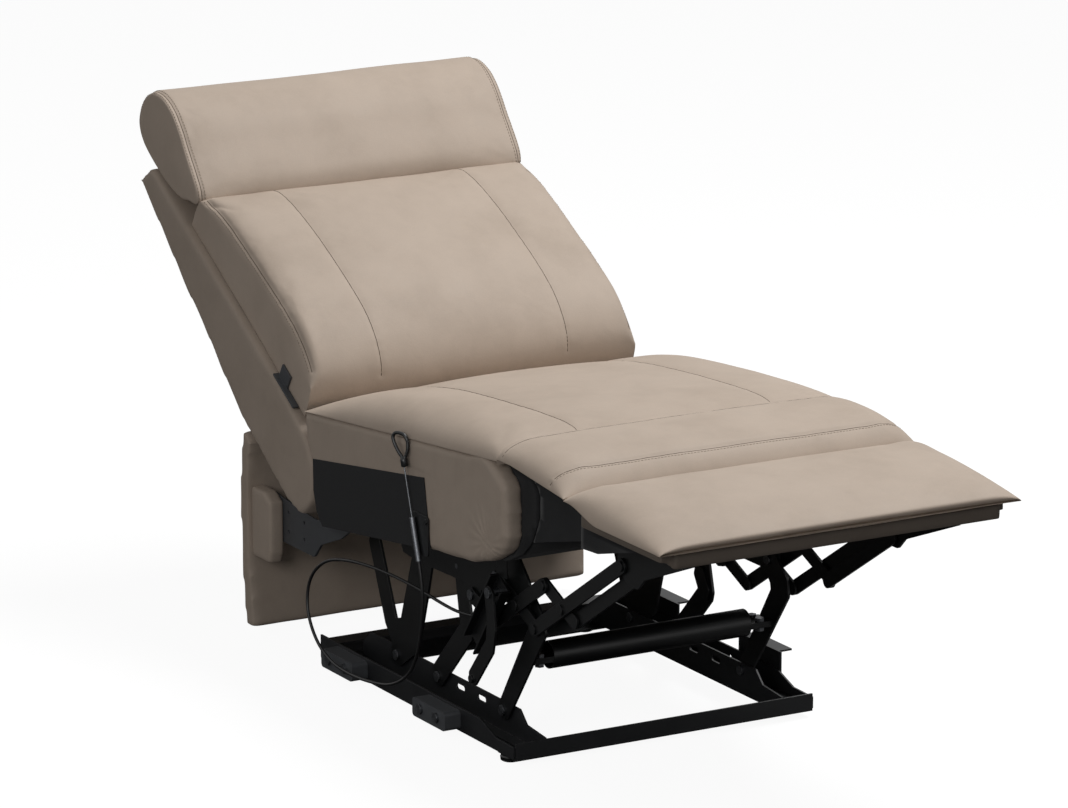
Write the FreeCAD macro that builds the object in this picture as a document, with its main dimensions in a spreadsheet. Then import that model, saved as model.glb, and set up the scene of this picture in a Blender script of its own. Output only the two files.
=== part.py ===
import FreeCAD, Part
import Sketcher
import math
import os

# Armless manual recliner seat, drawn in its fully open pose.
# Lengths are millimetres. x runs to the sitter's left, y to the rear from the front glides, z up.

doc = FreeCAD.newDocument("ReclinerSeat")
sheet = doc.addObject("Spreadsheet::Sheet", "Sizes")
value = {}


def size(name, number, meaning):
    row = str(len(value) + 1)
    value[name] = float(number)
    sheet.set("A" + row, name)
    sheet.set("B" + row, str(number))
    sheet.set("C" + row, meaning)
    sheet.setAlias("B" + row, name)


def pivot(name, y, z, meaning):
    size(name + "Y", y, meaning + ", distance back")
    size(name + "Z", z, meaning + ", height")


# Overall sizes
size("originShift", 302, "front glide row to the middle of the chair's length")
size("halfWidth", 300, "half the width of the upholstery")
size("backTilt", 31, "lean of the back above level, open")
size("backOriginY", 534, "front lower corner of the back frame, distance back")
size("backOriginZ", 370, "front lower corner of the back frame, height")
size("releaseTilt", -18, "lean of the pull cable")

# Swing linkage pivots, the seat rides on three equal parallel links
pivot("frontBase", 83, 50, "front link, base pivot")
pivot("middleBase", 282, 50, "middle link, base pivot")
pivot("rearBase", 412, 50, "rear crank, base pivot")
pivot("frontSeat", 15, 240, "front link, seat pivot")
pivot("middleSeat", 214, 240, "middle link, seat pivot")
pivot("rearSeat", 344, 240, "rear crank, seat pivot")
pivot("rodCrank", 310, 290, "recline rod, crank pivot")
pivot("rodBack", 530, 350, "recline rod, back pivot")
pivot("backHinge", 512, 405, "back hinge")

# Footrest linkage pivots, every bar is part of a parallelogram
pivot("longArmSeat", 84, 258, "long arm, seat pivot")
pivot("longArmEnd", -36, 207, "long arm, thigh bar pivot")
pivot("longArmMid", 18, 230, "long arm, shin bar pivot")
pivot("shortArmSeat", 160, 210, "short arm, seat pivot")
pivot("shortArmEnd", 94, 182, "short arm, shin bar pivot")
pivot("shinEnd", -61, 279.5, "shin bar, inner arm pivot")
pivot("innerMid", -115, 256.5, "inner arm, thigh bar pivot")
pivot("innerEnd", -142, 245, "inner arm, end bar pivot")
pivot("padUpper", -285, 364, "footrest bracket, thigh bar pivot")
pivot("padLower", -312, 352.5, "footrest bracket, end bar pivot")

# Sheet steel, its layers measured out from the middle plane
size("plate", 4, "linkage plate thickness")
size("gap", 1, "space between neighbouring plates")
size("legInner", value["halfWidth"] - 97, "inner rail leg and recline rod, inner face")
size("legThick", 3, "rail sheet thickness")
size("swingInner", value["halfWidth"] - 93, "swing links and back arms, inner face")
size("seatInner", value["halfWidth"] - 88, "seat plates and end bars, inner face")
size("armInner", value["halfWidth"] - 83, "footrest arms and brackets, inner face")
size("barInner", value["halfWidth"] - 78, "thigh and shin bars, inner face")
size("barHalf", 11, "half height of a footrest bar")
size("rivetRadius", 4, "rivet shank radius")
size("runningGap", 0.05, "radial running clearance at a rivet")
size("eyeRadius", 11, "open rear eye of the recline rod")
size("headRadius", 8, "rivet head radius")
size("headHeight", 2.5, "rivet head height")

# Base
size("outerLeg", value["halfWidth"] - 44, "outer rail, inner face of its leg")
size("slotHalf", 13, "half length of the long holes in the inner rails")
size("slotRadius", 4.5, "half height of those holes")
size("crossHalf", value["halfWidth"] - 44, "half length of the cross rails")
size("railFoot", 10, "underside of the cross rails")
size("flangeWide", 22, "width of a rail flange")
size("glideRadius", 15.5, "floor glide radius")
size("glideRow", 533, "rear glide row")
size("outerGlide", value["halfWidth"] - 60, "outer glide, distance from the middle plane")
size("innerGlide", value["halfWidth"] - 113, "inner glide, distance from the middle plane")
size("tubeRadius", 21, "torque tube outer radius")
size("tubeWall", 2, "torque tube wall")
size("tubeHalf", value["halfWidth"] - 130, "half length of the round torque tube")
size("tubeY", 20, "torque tube axis, distance back")
size("tubeZ", 146, "torque tube axis, height")
size("flatTop", 148.5, "top of the flattened tube end")
size("flatThick", 5, "thickness of the flattened tube end")
size("flatWide", 40, "width of the flattened tube end")

# Seat box
size("sideThick", 30, "upholstered side board thickness")
size("railWide", 54, "timber seat rail width")
size("innerBoard", value["halfWidth"] - 104, "half length of the boards between the linkages")
size("deckThick", 12, "deck board thickness")
size("coverThick", 1, "black side cover thickness")
size("edgeRound", 8, "rounding of upholstered edges")
size("clothThick", 2, "black dust cloth thickness")
size("tieRadius", 10, "seat cross tube radius")

# Release cable
size("releaseX", -value["halfWidth"] - 7.5, "pull cable, distance from the middle plane")
size("releaseY", 168, "mouth of the cable guide, distance back")
size("releaseZ", 290, "mouth of the cable guide, height")
size("wireRadius", 1.2, "pull wire radius")
size("boreRadius", 1.6, "bore of the sheath end fitting")
size("boreDepth", 55, "depth of that bore")
size("fittingRadius", 4.5, "sheath end fitting radius")
size("fittingLow", -18, "sheath end fitting, lower end")
size("fittingLong", 66, "sheath end fitting length")
size("wireLow", -5, "lower end of the pull wire")
size("wireLong", 140, "pull wire length")
size("ringLow", 124, "lower end of the ring's ferrule")
size("sheathRadius", 2.5, "cable sheath radius")

doc.recompute()

nodes = []


def keep(thing, name):
    thing.Label = name
    nodes.append(thing)
    return thing


def ref(name):
    return "Sizes." + name


def at(name):
    return (value[name + "Y"], value[name + "Z"])


# A corner is (y, z) or (pivot name, y offset, z offset).
def flat(corner):
    if len(corner) == 2:
        return (float(corner[0]), float(corner[1]))
    y, z = at(corner[0])
    return (y + corner[1], z + corner[2])


def originPlane(body, role):
    for feature in body.Origin.OriginFeatures:
        if feature.Role == role:
            return feature
    return None


def sideSketch(body, label):
    sketch = body.newObject("Sketcher::SketchObject", label)
    sketch.AttachmentSupport = (originPlane(body, "YZ_Plane"), [""])
    sketch.MapMode = "FlatFace"
    return sketch


def drawOutline(sketch, corners):
    first = sketch.GeometryCount
    count = len(corners)
    spots = [FreeCAD.Vector(flat(corner)[0], flat(corner)[1], 0) for corner in corners]
    lines = [Part.LineSegment(spots[i], spots[(i + 1) % count]) for i in range(count)]
    sketch.addGeometry(lines, False)
    joins = []
    for i in range(count):
        joins.append(Sketcher.Constraint("Coincident", first + i, 2, first + (i + 1) % count, 1))
    sketch.addConstraint(joins)
    for i, corner in enumerate(corners):
        across = sketch.addConstraint(Sketcher.Constraint("DistanceX", -1, 1, first + i, 1, spots[i].x))
        up = sketch.addConstraint(Sketcher.Constraint("DistanceY", -1, 1, first + i, 1, spots[i].y))
        if len(corner) == 3:
            sketch.setExpression("Constraints[%d]" % across, "%sY + %.3f" % (ref(corner[0]), corner[1]))
            sketch.setExpression("Constraints[%d]" % up, "%sZ + %.3f" % (ref(corner[0]), corner[2]))


def drawHole(sketch, spot, radius):
    y, z = flat(spot)
    circle = Part.Circle(FreeCAD.Vector(y, z, 0), FreeCAD.Vector(0, 0, 1), radius)
    number = sketch.addGeometry(circle, False)
    across = sketch.addConstraint(Sketcher.Constraint("DistanceX", -1, 1, number, 3, y))
    up = sketch.addConstraint(Sketcher.Constraint("DistanceY", -1, 1, number, 3, z))
    sketch.addConstraint(Sketcher.Constraint("Radius", number, radius))
    if len(spot) == 3:
        sketch.setExpression("Constraints[%d]" % across, "%sY + %.3f" % (ref(spot[0]), spot[1]))
        sketch.setExpression("Constraints[%d]" % up, "%sZ + %.3f" % (ref(spot[0]), spot[2]))


def drawSlot(sketch, y, z, half, radius):
    reach = half - radius
    upward = FreeCAD.Vector(0, 0, 1)
    front = Part.ArcOfCircle(Part.Circle(FreeCAD.Vector(y - reach, z, 0), upward, radius),
                             math.pi / 2, 3 * math.pi / 2)
    rear = Part.ArcOfCircle(Part.Circle(FreeCAD.Vector(y + reach, z, 0), upward, radius),
                            -math.pi / 2, math.pi / 2)
    low = Part.LineSegment(FreeCAD.Vector(y - reach, z - radius, 0), FreeCAD.Vector(y + reach, z - radius, 0))
    high = Part.LineSegment(FreeCAD.Vector(y + reach, z + radius, 0), FreeCAD.Vector(y - reach, z + radius, 0))
    sketch.addGeometry([front, low, rear, high], False)
    sketch.addConstraint([
        Sketcher.Constraint("Coincident", 0, 2, 1, 1),
        Sketcher.Constraint("Coincident", 1, 2, 2, 1),
        Sketcher.Constraint("Coincident", 2, 2, 3, 1),
        Sketcher.Constraint("Coincident", 3, 2, 0, 1),
        Sketcher.Constraint("Radius", 0, radius),
        Sketcher.Constraint("Radius", 2, radius),
    ])


def addPad(body, sketch, length, outward, label):
    pad = body.newObject("PartDesign::Pad", label)
    pad.Profile = sketch
    pad.Reversed = not outward
    if isinstance(length, str):
        pad.Length = value[length]
        pad.setExpression("Length", ref(length))
    else:
        pad.Length = length
    sketch.Visibility = False
    return pad


def seatOnFrame(thing, x, frame):
    # frame is "chair" for pieces drawn level and "back" for pieces drawn along the back
    if frame == "back":
        turn = FreeCAD.Rotation(FreeCAD.Vector(1, 0, 0), value["backTilt"])
        y = value["backOriginY"]
        z = value["backOriginZ"]
        rule = "Sizes.backOriginY - Sizes.originShift"
    else:
        turn = FreeCAD.Rotation()
        y = 0.0
        z = 0.0
        rule = "-Sizes.originShift"
    thing.Placement = FreeCAD.Placement(FreeCAD.Vector(x, y - value["originShift"], z), turn)
    thing.setExpression("Placement.Base.y", rule)
    if frame == "back":
        thing.setExpression("Placement.Base.z", "Sizes.backOriginZ")
        thing.setExpression("Placement.Rotation.Angle", "Sizes.backTilt")


# A flat piece drawn in the side view and given a thickness outward from the middle plane.
# extras are further pads (corners, length, outward) in the same piece.
def board(label, side, inner, corners, thick, holes=(), rounds=(), extras=(), frame="chair"):
    body = doc.addObject("PartDesign::Body", label)
    sketch = sideSketch(body, label + "Outline")
    drawOutline(sketch, corners)
    for spot, radius in holes:
        drawHole(sketch, spot, value[radius] if isinstance(radius, str) else radius)
    pad = addPad(body, sketch, thick, side > 0, label + "Pad")
    doc.recompute()
    tip = pad
    for number, (more, length, outward) in enumerate(extras):
        extraSketch = sideSketch(body, "%sExtra%d" % (label, number))
        drawOutline(extraSketch, more)
        facing = (side > 0) if outward else (side < 0)
        tip = addPad(body, extraSketch, length, facing, "%sExtraPad%d" % (label, number))
        doc.recompute()
    for number, (radius, chosen) in enumerate(rounds):
        names = []
        for i, edge in enumerate(tip.Shape.Edges):
            if chosen(edge):
                names.append("Edge%d" % (i + 1))
        if names:
            fillet = body.newObject("PartDesign::Fillet", "%sRound%d" % (label, number))
            fillet.Base = (tip, names)
            fillet.Radius = radius
            if radius == value["edgeRound"]:
                fillet.setExpression("Radius", "Sizes.edgeRound")
            doc.recompute()
            if fillet.Shape.isNull() or not fillet.Shape.isValid():
                print("round failed", label, number)
            tip = fillet
    body.Tip = tip
    seatOnFrame(body, side * inner, frame)
    return body


# Corner edges run across the chair, chosen by the corner they stand on.
def cornerEdges(spots):
    def chosen(edge):
        first = edge.Vertexes[0].Point
        last = edge.Vertexes[-1].Point
        if abs(first.y - last.y) > 0.01 or abs(first.z - last.z) > 0.01:
            return False
        if len(edge.Vertexes) < 2:
            return False
        for spot in spots:
            y, z = flat(spot)
            if abs(first.y - y) < 0.2 and abs(first.z - z) < 0.2:
                return True
        return False
    return chosen


# Edges that lie in the outer face, limited by a test on their middle point.
def faceEdges(x, test):
    def chosen(edge):
        for vertex in edge.Vertexes:
            if abs(vertex.Point.x - x) > 0.01:
                return False
        middle = edge.CenterOfMass
        return test(middle.y, middle.z)
    return chosen


def joinPieces(name, pieces):
    group = doc.addObject("Part::Compound", name)
    group.Links = pieces
    return keep(group, name)


def both(name, make):
    return joinPieces(name, [make(name + "Right", -1), make(name + "Left", 1)])


# A straight flat bar with rounded ends between two pivots.
def bar(label, side, layer, start, end, holes):
    y1, z1 = at(start)
    y2, z2 = at(end)
    long = math.hypot(y2 - y1, z2 - z1)
    half = value["barHalf"]
    dy = (y2 - y1) / long * half
    dz = (z2 - z1) / long * half
    corners = [
        (start, -dy - dz, -dz + dy),
        (end, dy - dz, dz + dy),
        (end, dy + dz, dz - dy),
        (start, -dy + dz, -dz - dy),
    ]
    rounds = [(half * 0.92, cornerEdges(corners))]
    bores = [((name, 0, 0), radius) for name, radius in holes]
    return board(label, side, value[layer], corners, "plate", bores, rounds)


def cylinder(label, x, y, z, radius, length, side):
    post = doc.addObject("Part::Cylinder", label)
    if isinstance(radius, str):
        post.Radius = value[radius]
        post.setExpression("Radius", ref(radius))
    else:
        post.Radius = radius
    post.Height = length
    turn = FreeCAD.Rotation(FreeCAD.Vector(0, 1, 0), 90 * side)
    post.Placement = FreeCAD.Placement(FreeCAD.Vector(side * x, y - value["originShift"], z), turn)
    return post


# A rivet across two plates. Heads are given as "inner", "outer", "both" or "none".
def rivet(label, side, name, start, end, heads):
    y, z = at(name)
    shank = cylinder(label + "Shank", start, y, z, "rivetRadius", end - start, side)
    parts = [shank]
    high = value["headHeight"]
    if heads in ("inner", "both"):
        parts.append(cylinder(label + "HeadIn", start - high, y, z, "headRadius", high, side))
    if heads in ("outer", "both"):
        parts.append(cylinder(label + "HeadOut", end, y, z, "headRadius", high, side))
    for part in parts:
        part.setExpression("Placement.Base.y", "%sY - Sizes.originShift" % ref(name))
        part.setExpression("Placement.Base.z", "%sZ" % ref(name))
    if len(parts) == 1:
        return shank
    fused = doc.addObject("Part::MultiFuse", label)
    fused.Shapes = parts
    return fused


tight = value["rivetRadius"]
running = value["rivetRadius"] + value["runningGap"]
endThick = value["plate"] + 0.3


# Base rails
def outerRail(name, side):
    leg = [(570, 13), (570, 49), (66, 49), (18, 32), (-35, 31), (-35, 13)]
    flange = [(570, 13), (570, 16), (-35, 16), (-35, 13)]
    bores = [((150, 32), 4.5), ((200, 32), 4.5), ((441, 32), 4.5), ((491, 32), 4.5)]
    rail = board(name, side, value["outerLeg"], leg, "legThick", bores, (),
                 [(flange, "flangeWide", False)])
    keep(rail, name)


def innerRail(name, side):
    leg = [(530, 13), (530, 40), (503, 62), (40, 62), (20, 43), (-35, 38), (-35, 13)]
    flange = [(530, 13), (530, 16), (-35, 16), (-35, 13)]
    bores = [(("frontBase", 0, 0), tight), (("middleBase", 0, 0), tight), (("rearBase", 0, 0), tight)]
    rail = board(name, side, value["legInner"], leg, "legThick", bores, (),
                 [(flange, 25.0, True)])
    for y in (155, 220):
        slot = doc.getObject(name).newObject("Sketcher::SketchObject", name + "Slot%d" % y)
        slot.AttachmentSupport = (originPlane(rail, "YZ_Plane"), [""])
        slot.MapMode = "FlatFace"
        drawSlot(slot, y, 48.0, value["slotHalf"], value["slotRadius"])
        cut = rail.newObject("PartDesign::Pocket", name + "SlotCut%d" % y)
        cut.Profile = slot
        cut.Length = 8
        cut.Midplane = True
        doc.recompute()
        rail.Tip = cut
    keep(rail, name)


outerRail("outer_rail_right", -1)
outerRail("outer_rail_left", 1)
innerRail("inner_rail_right", -1)
innerRail("inner_rail_left", 1)

crossLong = 2 * value["crossHalf"]
frontCross = board("front_cross_rail", 1, -value["crossHalf"],
                   [(-38, 10), (17, 10), (17, 13), (-35, 13), (-35, 37), (-38, 37)], crossLong)
keep(frontCross, "front_cross_rail")
rearCross = board("rear_cross_rail", 1, -value["crossHalf"],
                  [(495, 10), (575, 10), (575, 40), (540, 40), (540, 37), (572, 37), (572, 13), (495, 13)],
                  crossLong)
keep(rearCross, "rear_cross_rail")


def floorGlides():
    pieces = []
    for row, y in enumerate((0.0, value["glideRow"])):
        for column, x in enumerate((-value["outerGlide"], -value["innerGlide"],
                                    value["innerGlide"], value["outerGlide"])):
            label = "glide%d%d" % (row, column)
            foot = doc.addObject("Part::Cone", label)
            foot.Radius1 = value["glideRadius"] - 2
            foot.setExpression("Radius1", "Sizes.glideRadius - 2")
            foot.Radius2 = value["glideRadius"]
            foot.setExpression("Radius2", "Sizes.glideRadius")
            foot.Height = value["railFoot"]
            foot.setExpression("Height", "Sizes.railFoot")
            foot.Placement.Base = FreeCAD.Vector(x, y - value["originShift"], 0)
            pieces.append(foot)
    joinPieces("floor_glides", pieces)


floorGlides()

connectorRows = (124, 416)
receiverRows = (60, 360)
wedgeDeep = 27.0
railFace = value["outerLeg"] + value["legThick"]


def sideConnectors():
    pieces = []
    for number, y in enumerate(connectorRows):
        lower = [(y, 16), (y + 101, 16), (y + 101, 45), (y, 45)]
        wedge = board("wedge%d" % number, -1, railFace, lower, wedgeDeep,
                      [((y + 26, 32), tight), ((y + 76, 32), tight)],
                      [(6.0, cornerEdges(lower))])
        pieces.append(wedge)
    joinPieces("side_connectors", pieces)


def sideReceivers():
    pieces = []
    for number, y in enumerate(receiverRows):
        leg = [(y, 20), (y + 120, 20), (y + 120, 76), (y, 76)]
        lip = [(y + 8, 73), (y + 112, 73), (y + 112, 76), (y + 8, 76)]
        hook = board("receiver%d" % number, 1, railFace, leg, "legThick",
                     [((y + 30, 35), tight), ((y + 90, 35), tight)],
                     [], [(lip, 26.0, True)])
        pieces.append(hook)
    joinPieces("side_receivers", pieces)


sideConnectors()
sideReceivers()


def railBolts():
    pieces = []
    wedgeBolts = [(y, 32) for row in connectorRows for y in (row + 26, row + 76)]
    receiverBolts = [(y, 35) for row in receiverRows for y in (row + 30, row + 90)]
    for side, spots, grip in ((-1, wedgeBolts, wedgeDeep), (1, receiverBolts, value["legThick"])):
        for number, (y, height) in enumerate(spots):
            label = "railBolt%d%d" % (side + 1, number)
            shank = cylinder(label + "Shank", railFace, y, height, "rivetRadius", grip, side)
            head = cylinder(label + "Head", railFace + grip, y, height, "headRadius", 4.0, side)
            bolt = doc.addObject("Part::MultiFuse", label)
            bolt.Shapes = [shank, head]
            pieces.append(bolt)
    joinPieces("rail_bolts", pieces)


railBolts()


def basePivots():
    pieces = []
    for side in (-1, 1):
        for name in ("frontBase", "middleBase", "rearBase"):
            label = "basePivot%s%d" % (name, side + 1)
            pin = rivet(label, side, name, value["legInner"], value["seatInner"] - 0.5, "both")
            collar = cylinder(label + "Collar", value["legInner"] + value["legThick"], *at(name),
                              6.5, value["gap"] - 0.1, side)
            whole = doc.addObject("Part::MultiFuse", label + "Whole")
            whole.Shapes = [pin, collar]
            pieces.append(whole)
    joinPieces("base_pivots", pieces)


basePivots()


# Swing links
def frontLink(label, side):
    corners = [("frontBase", 15, 2), ("frontBase", 3, -15), ("frontBase", -15, -10),
               ("frontSeat", -59, -44), ("frontSeat", -55, -18), ("frontSeat", -17, 16),
               ("frontSeat", 5, 16), ("frontSeat", 16, 0), ("frontSeat", 11, -14),
               ("frontSeat", -7, -34), ("frontSeat", -9, -44)]
    shelf = value["flatTop"] - value["flatThick"]
    flange = [(0, shelf - 4), (40, shelf - 4), (40, shelf), (0, shelf)]
    return board(label, side, value["swingInner"], corners, "plate",
                 [(("frontBase", 0, 0), running), (("frontSeat", 0, 0), running)],
                 [(7.0, cornerEdges(corners[:3] + corners[5:8])), (12.0, cornerEdges(corners[3:5]))],
                 [(flange, 36.0, False)])


def middleLink(label, side):
    corners = [("middleBase", 15, 2), ("middleBase", 6, -15), ("middleBase", -10, -14),
               ("middleBase", -106, 84), ("middleBase", -110, 98), ("middleSeat", -16, 8),
               ("middleSeat", -4, 16), ("middleSeat", 12, 12), ("middleSeat", 16, 0),
               ("middleSeat", -2, -90), ("middleBase", 14, 14)]
    return board(label, side, value["swingInner"], corners, "plate",
                 [(("middleBase", 0, 0), running), (("middleSeat", 0, 0), running)],
                 [(6.0, cornerEdges(corners[:3] + corners[5:9])), (9.0, cornerEdges(corners[3:5]))])


def rearCrank(label, side):
    corners = [("rearBase", 16, 18), ("rearBase", 17, -12), ("rearBase", -10, -16),
               ("rearBase", -68, 22), ("rearBase", -100, 124), ("rodCrank", -16, -54),
               ("rodCrank", -14, 6), ("rodCrank", 0, 15), ("rodCrank", 14, 6),
               ("rodCrank", 16, -28), ("rearSeat", 8, 22), ("rearSeat", 20, 4),
               ("rearSeat", 16, -18), ("rearBase", -14, 62), ("rearBase", 2, 58),
               ("rearBase", 54, 172), ("rearBase", 72, 180), ("rearBase", 88, 162),
               ("rearBase", 36, 42)]
    return board(label, side, value["swingInner"], corners, "plate",
                 [(("rearBase", 0, 0), running), (("rearSeat", 0, 0), running),
                  (("rodCrank", 0, 0), tight)],
                 [(6.0, cornerEdges(corners[1:3] + corners[6:9] + corners[10:12] + corners[15:18])),
                  (14.0, cornerEdges(corners[3:5]))])


both("front_links", frontLink)
both("middle_links", middleLink)
both("rear_cranks", rearCrank)


def crankPins():
    pieces = []
    for side in (-1, 1):
        pieces.append(rivet("crankPin%d" % (side + 1), side, "rodCrank",
                            value["legInner"] - 0.3, value["swingInner"] + value["plate"], "inner"))
    joinPieces("crank_pins", pieces)


crankPins()


def sequencerCam(label, side):
    corners = [(182, 132), (204, 138), (222, 168), (216, 186), (196, 182), (178, 152)]
    return board(label, side, value["legInner"], corners, "plate", [], [(7.0, cornerEdges(corners))])


both("sequencer_cams", sequencerCam)


def torqueTube():
    half = value["tubeHalf"]
    outer = cylinder("tubeOuter", -half, value["tubeY"], value["tubeZ"], "tubeRadius", 2 * half, 1)
    inner = cylinder("tubeInner", -half, value["tubeY"], value["tubeZ"], 19.0, 2 * half, 1)
    inner.setExpression("Radius", "Sizes.tubeRadius - Sizes.tubeWall")
    hollow = doc.addObject("Part::Cut", "tubeHollow")
    hollow.Base = outer
    hollow.Tool = inner
    pieces = [hollow]
    for side in (-1, 1):
        wide = value["flatWide"]
        tab = doc.addObject("Part::Box", "tubeEnd%d" % (side + 1))
        tab.Length = value["swingInner"] - half + 12
        tab.Width = wide
        tab.setExpression("Width", "Sizes.flatWide")
        tab.Height = value["flatThick"]
        tab.setExpression("Height", "Sizes.flatThick")
        start = half - 12 if side > 0 else -value["swingInner"]
        tab.Placement.Base = FreeCAD.Vector(start, value["tubeY"] - wide / 2 - value["originShift"],
                                            value["flatTop"] - value["flatThick"])
        pieces.append(tab)
    tube = doc.addObject("Part::MultiFuse", "torque_tube")
    tube.Shapes = pieces
    keep(tube, "torque_tube")


torqueTube()


def tubeBolts():
    pieces = []
    boltX = value["swingInner"] - 17
    for side in (-1, 1):
        for number, y in enumerate((9.0, 31.0)):
            label = "tubeBolt%d%d" % (side + 1, number)
            head = doc.addObject("Part::Prism", label + "Head")
            head.Polygon = 6
            head.Circumradius = 7.5
            head.Height = 5
            head.Placement.Base = FreeCAD.Vector(side * boltX, y - value["originShift"], value["flatTop"])
            nut = doc.addObject("Part::Prism", label + "Nut")
            nut.Polygon = 6
            nut.Circumradius = 7.5
            nut.Height = 6
            nut.Placement.Base = FreeCAD.Vector(side * boltX, y - value["originShift"],
                                                value["flatTop"] - value["flatThick"] - 10)
            pieces.append(head)
            pieces.append(nut)
    joinPieces("torque_tube_bolts", pieces)


tubeBolts()


# Seat mechanism plates
def seatPlate(name, side):
    corners = [(-6, 222), (138, 222), (146, 196), (166, 192), (180, 198), (190, 222), (330, 218),
               (380, 222), (420, 290), ("backHinge", 16, -12), ("backHinge", 11, 11),
               ("backHinge", -12, 12), (470, 384), (400, 332), (34, 332), (24, 298),
               (-6, 268)]
    bores = [((name2, 0, 0), tight) for name2 in
             ("frontSeat", "middleSeat", "rearSeat", "backHinge", "longArmSeat", "shortArmSeat")]
    plate = board(name, side, value["seatInner"], corners, "plate", bores,
                  [(8.0, cornerEdges(corners[2:5] + corners[9:12] + corners[:1] + corners[-3:]))])
    keep(plate, name)


seatPlate("seat_plate_right", -1)
seatPlate("seat_plate_left", 1)


def seatPivots():
    pieces = []
    plate = value["plate"]
    for side in (-1, 1):
        for name in ("frontSeat", "middleSeat", "rearSeat"):
            pieces.append(rivet("seatPivot%s%d" % (name, side + 1), side, name,
                                value["swingInner"] - 0.3, value["seatInner"] + plate, "inner"))
        pieces.append(rivet("backPivot%d" % (side + 1), side, "backHinge",
                            value["swingInner"] - 0.3, value["seatInner"] + plate, "both"))
        for name in ("longArmSeat", "shortArmSeat"):
            pieces.append(rivet("seatPivot%s%d" % (name, side + 1), side, name,
                                value["seatInner"], value["armInner"] + endThick, "outer"))
    joinPieces("seat_pivots", pieces)


seatPivots()


def seatCrossTubes():
    pieces = []
    for number, (y, z) in enumerate(((262.0, 292.0), (120.0, 300.0))):
        half = value["seatInner"]
        tube = cylinder("crossTube%d" % number, -half, y, z, "tieRadius", 2 * half, 1)
        pieces.append(tube)
    joinPieces("seat_cross_tubes", pieces)


seatCrossTubes()


# Footrest linkage
def longArm(label, side):
    return bar(label, side, "armInner", "longArmSeat", "longArmEnd",
               [("longArmSeat", running), ("longArmMid", tight), ("longArmEnd", tight)])


def shortArm(label, side):
    return bar(label, side, "armInner", "shortArmSeat", "shortArmEnd",
               [("shortArmSeat", running), ("shortArmEnd", tight)])


def innerArm(label, side):
    return bar(label, side, "armInner", "shinEnd", "innerEnd",
               [("shinEnd", running), ("innerMid", running), ("innerEnd", tight)])


def shinBar(label, side):
    return bar(label, side, "barInner", "shortArmEnd", "shinEnd",
               [("shortArmEnd", running), ("longArmMid", running), ("shinEnd", tight)])


def thighBar(label, side):
    return bar(label, side, "barInner", "longArmEnd", "padUpper",
               [("longArmEnd", running), ("innerMid", tight), ("padUpper", running)])


def endBar(label, side):
    return bar(label, side, "seatInner", "innerEnd", "padLower",
               [("innerEnd", running), ("padLower", running)])


# Each bar is kept with the rivets that are pressed into it.
def armWithRivets(name, make, rivets):
    pieces = [make(name + "Right", -1), make(name + "Left", 1)]
    for side in (-1, 1):
        for spot, start, end, heads in rivets:
            pieces.append(rivet("%s%s%d" % (name, spot, side + 1), side, spot, start, end, heads))
    joinPieces(name, pieces)


armStart = value["armInner"]
barStart = value["barInner"]
barEnd = barStart + endThick
armWithRivets("footrest_long_arms", longArm,
              [("longArmMid", armStart, barEnd, "outer"), ("longArmEnd", armStart, barEnd, "outer")])
armWithRivets("footrest_short_arms", shortArm, [("shortArmEnd", armStart, barEnd, "outer")])
armWithRivets("footrest_shin_bars", shinBar, [("shinEnd", armStart, barEnd, "outer")])
armWithRivets("footrest_thigh_bars", thighBar, [("innerMid", armStart, barEnd, "outer")])
armWithRivets("footrest_inner_arms", innerArm,
              [("innerEnd", value["seatInner"], armStart + value["plate"], "none")])
both("footrest_end_bars", endBar)


def footBracket(label, side):
    corners = [(-268, 372), (-274, 352), (-300, 338), (-324, 338), (-342, 356), (-480, 410),
               (-480, 426), (-276, 426)]
    flange = [(-480, 423), (-280, 423), (-280, 426), (-480, 426)]
    return board(label, side, value["armInner"], corners, "plate",
                 [(("padUpper", 0, 0), tight), (("padLower", 0, 0), tight)],
                 [(8.0, cornerEdges(corners[:5]))], [(flange, 28.0, True)])


armWithRivets("footrest_brackets", footBracket,
              [("padUpper", armStart, barEnd, "outer"),
               ("padLower", value["seatInner"], armStart + value["plate"], "none")])


# Seat box
def seatTop(y):
    return 477.0 - (y + 69.0) * 60.0 / 612.0


rollFront = [(-69, 477), (-104, 461), (-127, 446), (-133, 436), (-133, 406), (-112, 364),
             (-83, 337), (-45, 319), (21, 304)]


def seatSide(name, side):
    corners = [(543, seatTop(543))] + rollFront + [
        (81, 298), (139, 294), (481, 248), (500, 268), (511, 300), (512, 338), (528, 374), (541, 400)]
    inner = value["halfWidth"] - value["sideThick"]
    outerX = side * value["sideThick"]
    rounded = faceEdges(outerX, lambda y, z: y < 60 or z > 405)
    keep(board(name, side, inner, corners, "sideThick", [], [(value["edgeRound"], rounded)]), name)


seatSide("seat_side_right", -1)
seatSide("seat_side_left", 1)


def seatRail(label, side):
    corners = [(30, 305), (400, 305), (478, 378), (478, seatTop(478)), (30, seatTop(30))]
    inner = value["seatInner"] + value["plate"]
    return board(label, side, inner, corners, "railWide")


both("seat_rails", seatRail)

rollInner = [(21, 322), (-38, 337), (-70, 352), (-95, 374), (-113, 408), (-113, 430), (-95, 444),
             (-60, 455), (-48, 455)]
frontRoll = board("front_roll", 1, -(value["halfWidth"] - value["sideThick"]),
                  [(-48, seatTop(-48))] + rollFront + rollInner,
                  2 * (value["halfWidth"] - value["sideThick"]))
keep(frontRoll, "front_roll")

rearBoard = board("seat_rear_board", 1, -value["innerBoard"],
                  [(541, seatTop(541)), (541, 400), (528, 374), (512, 338), (511, 300), (493, 300),
                   (493, 345), (508, 378), (516, 398), (516, seatTop(516))],
                  2 * value["innerBoard"])
keep(rearBoard, "seat_rear_board")

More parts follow.
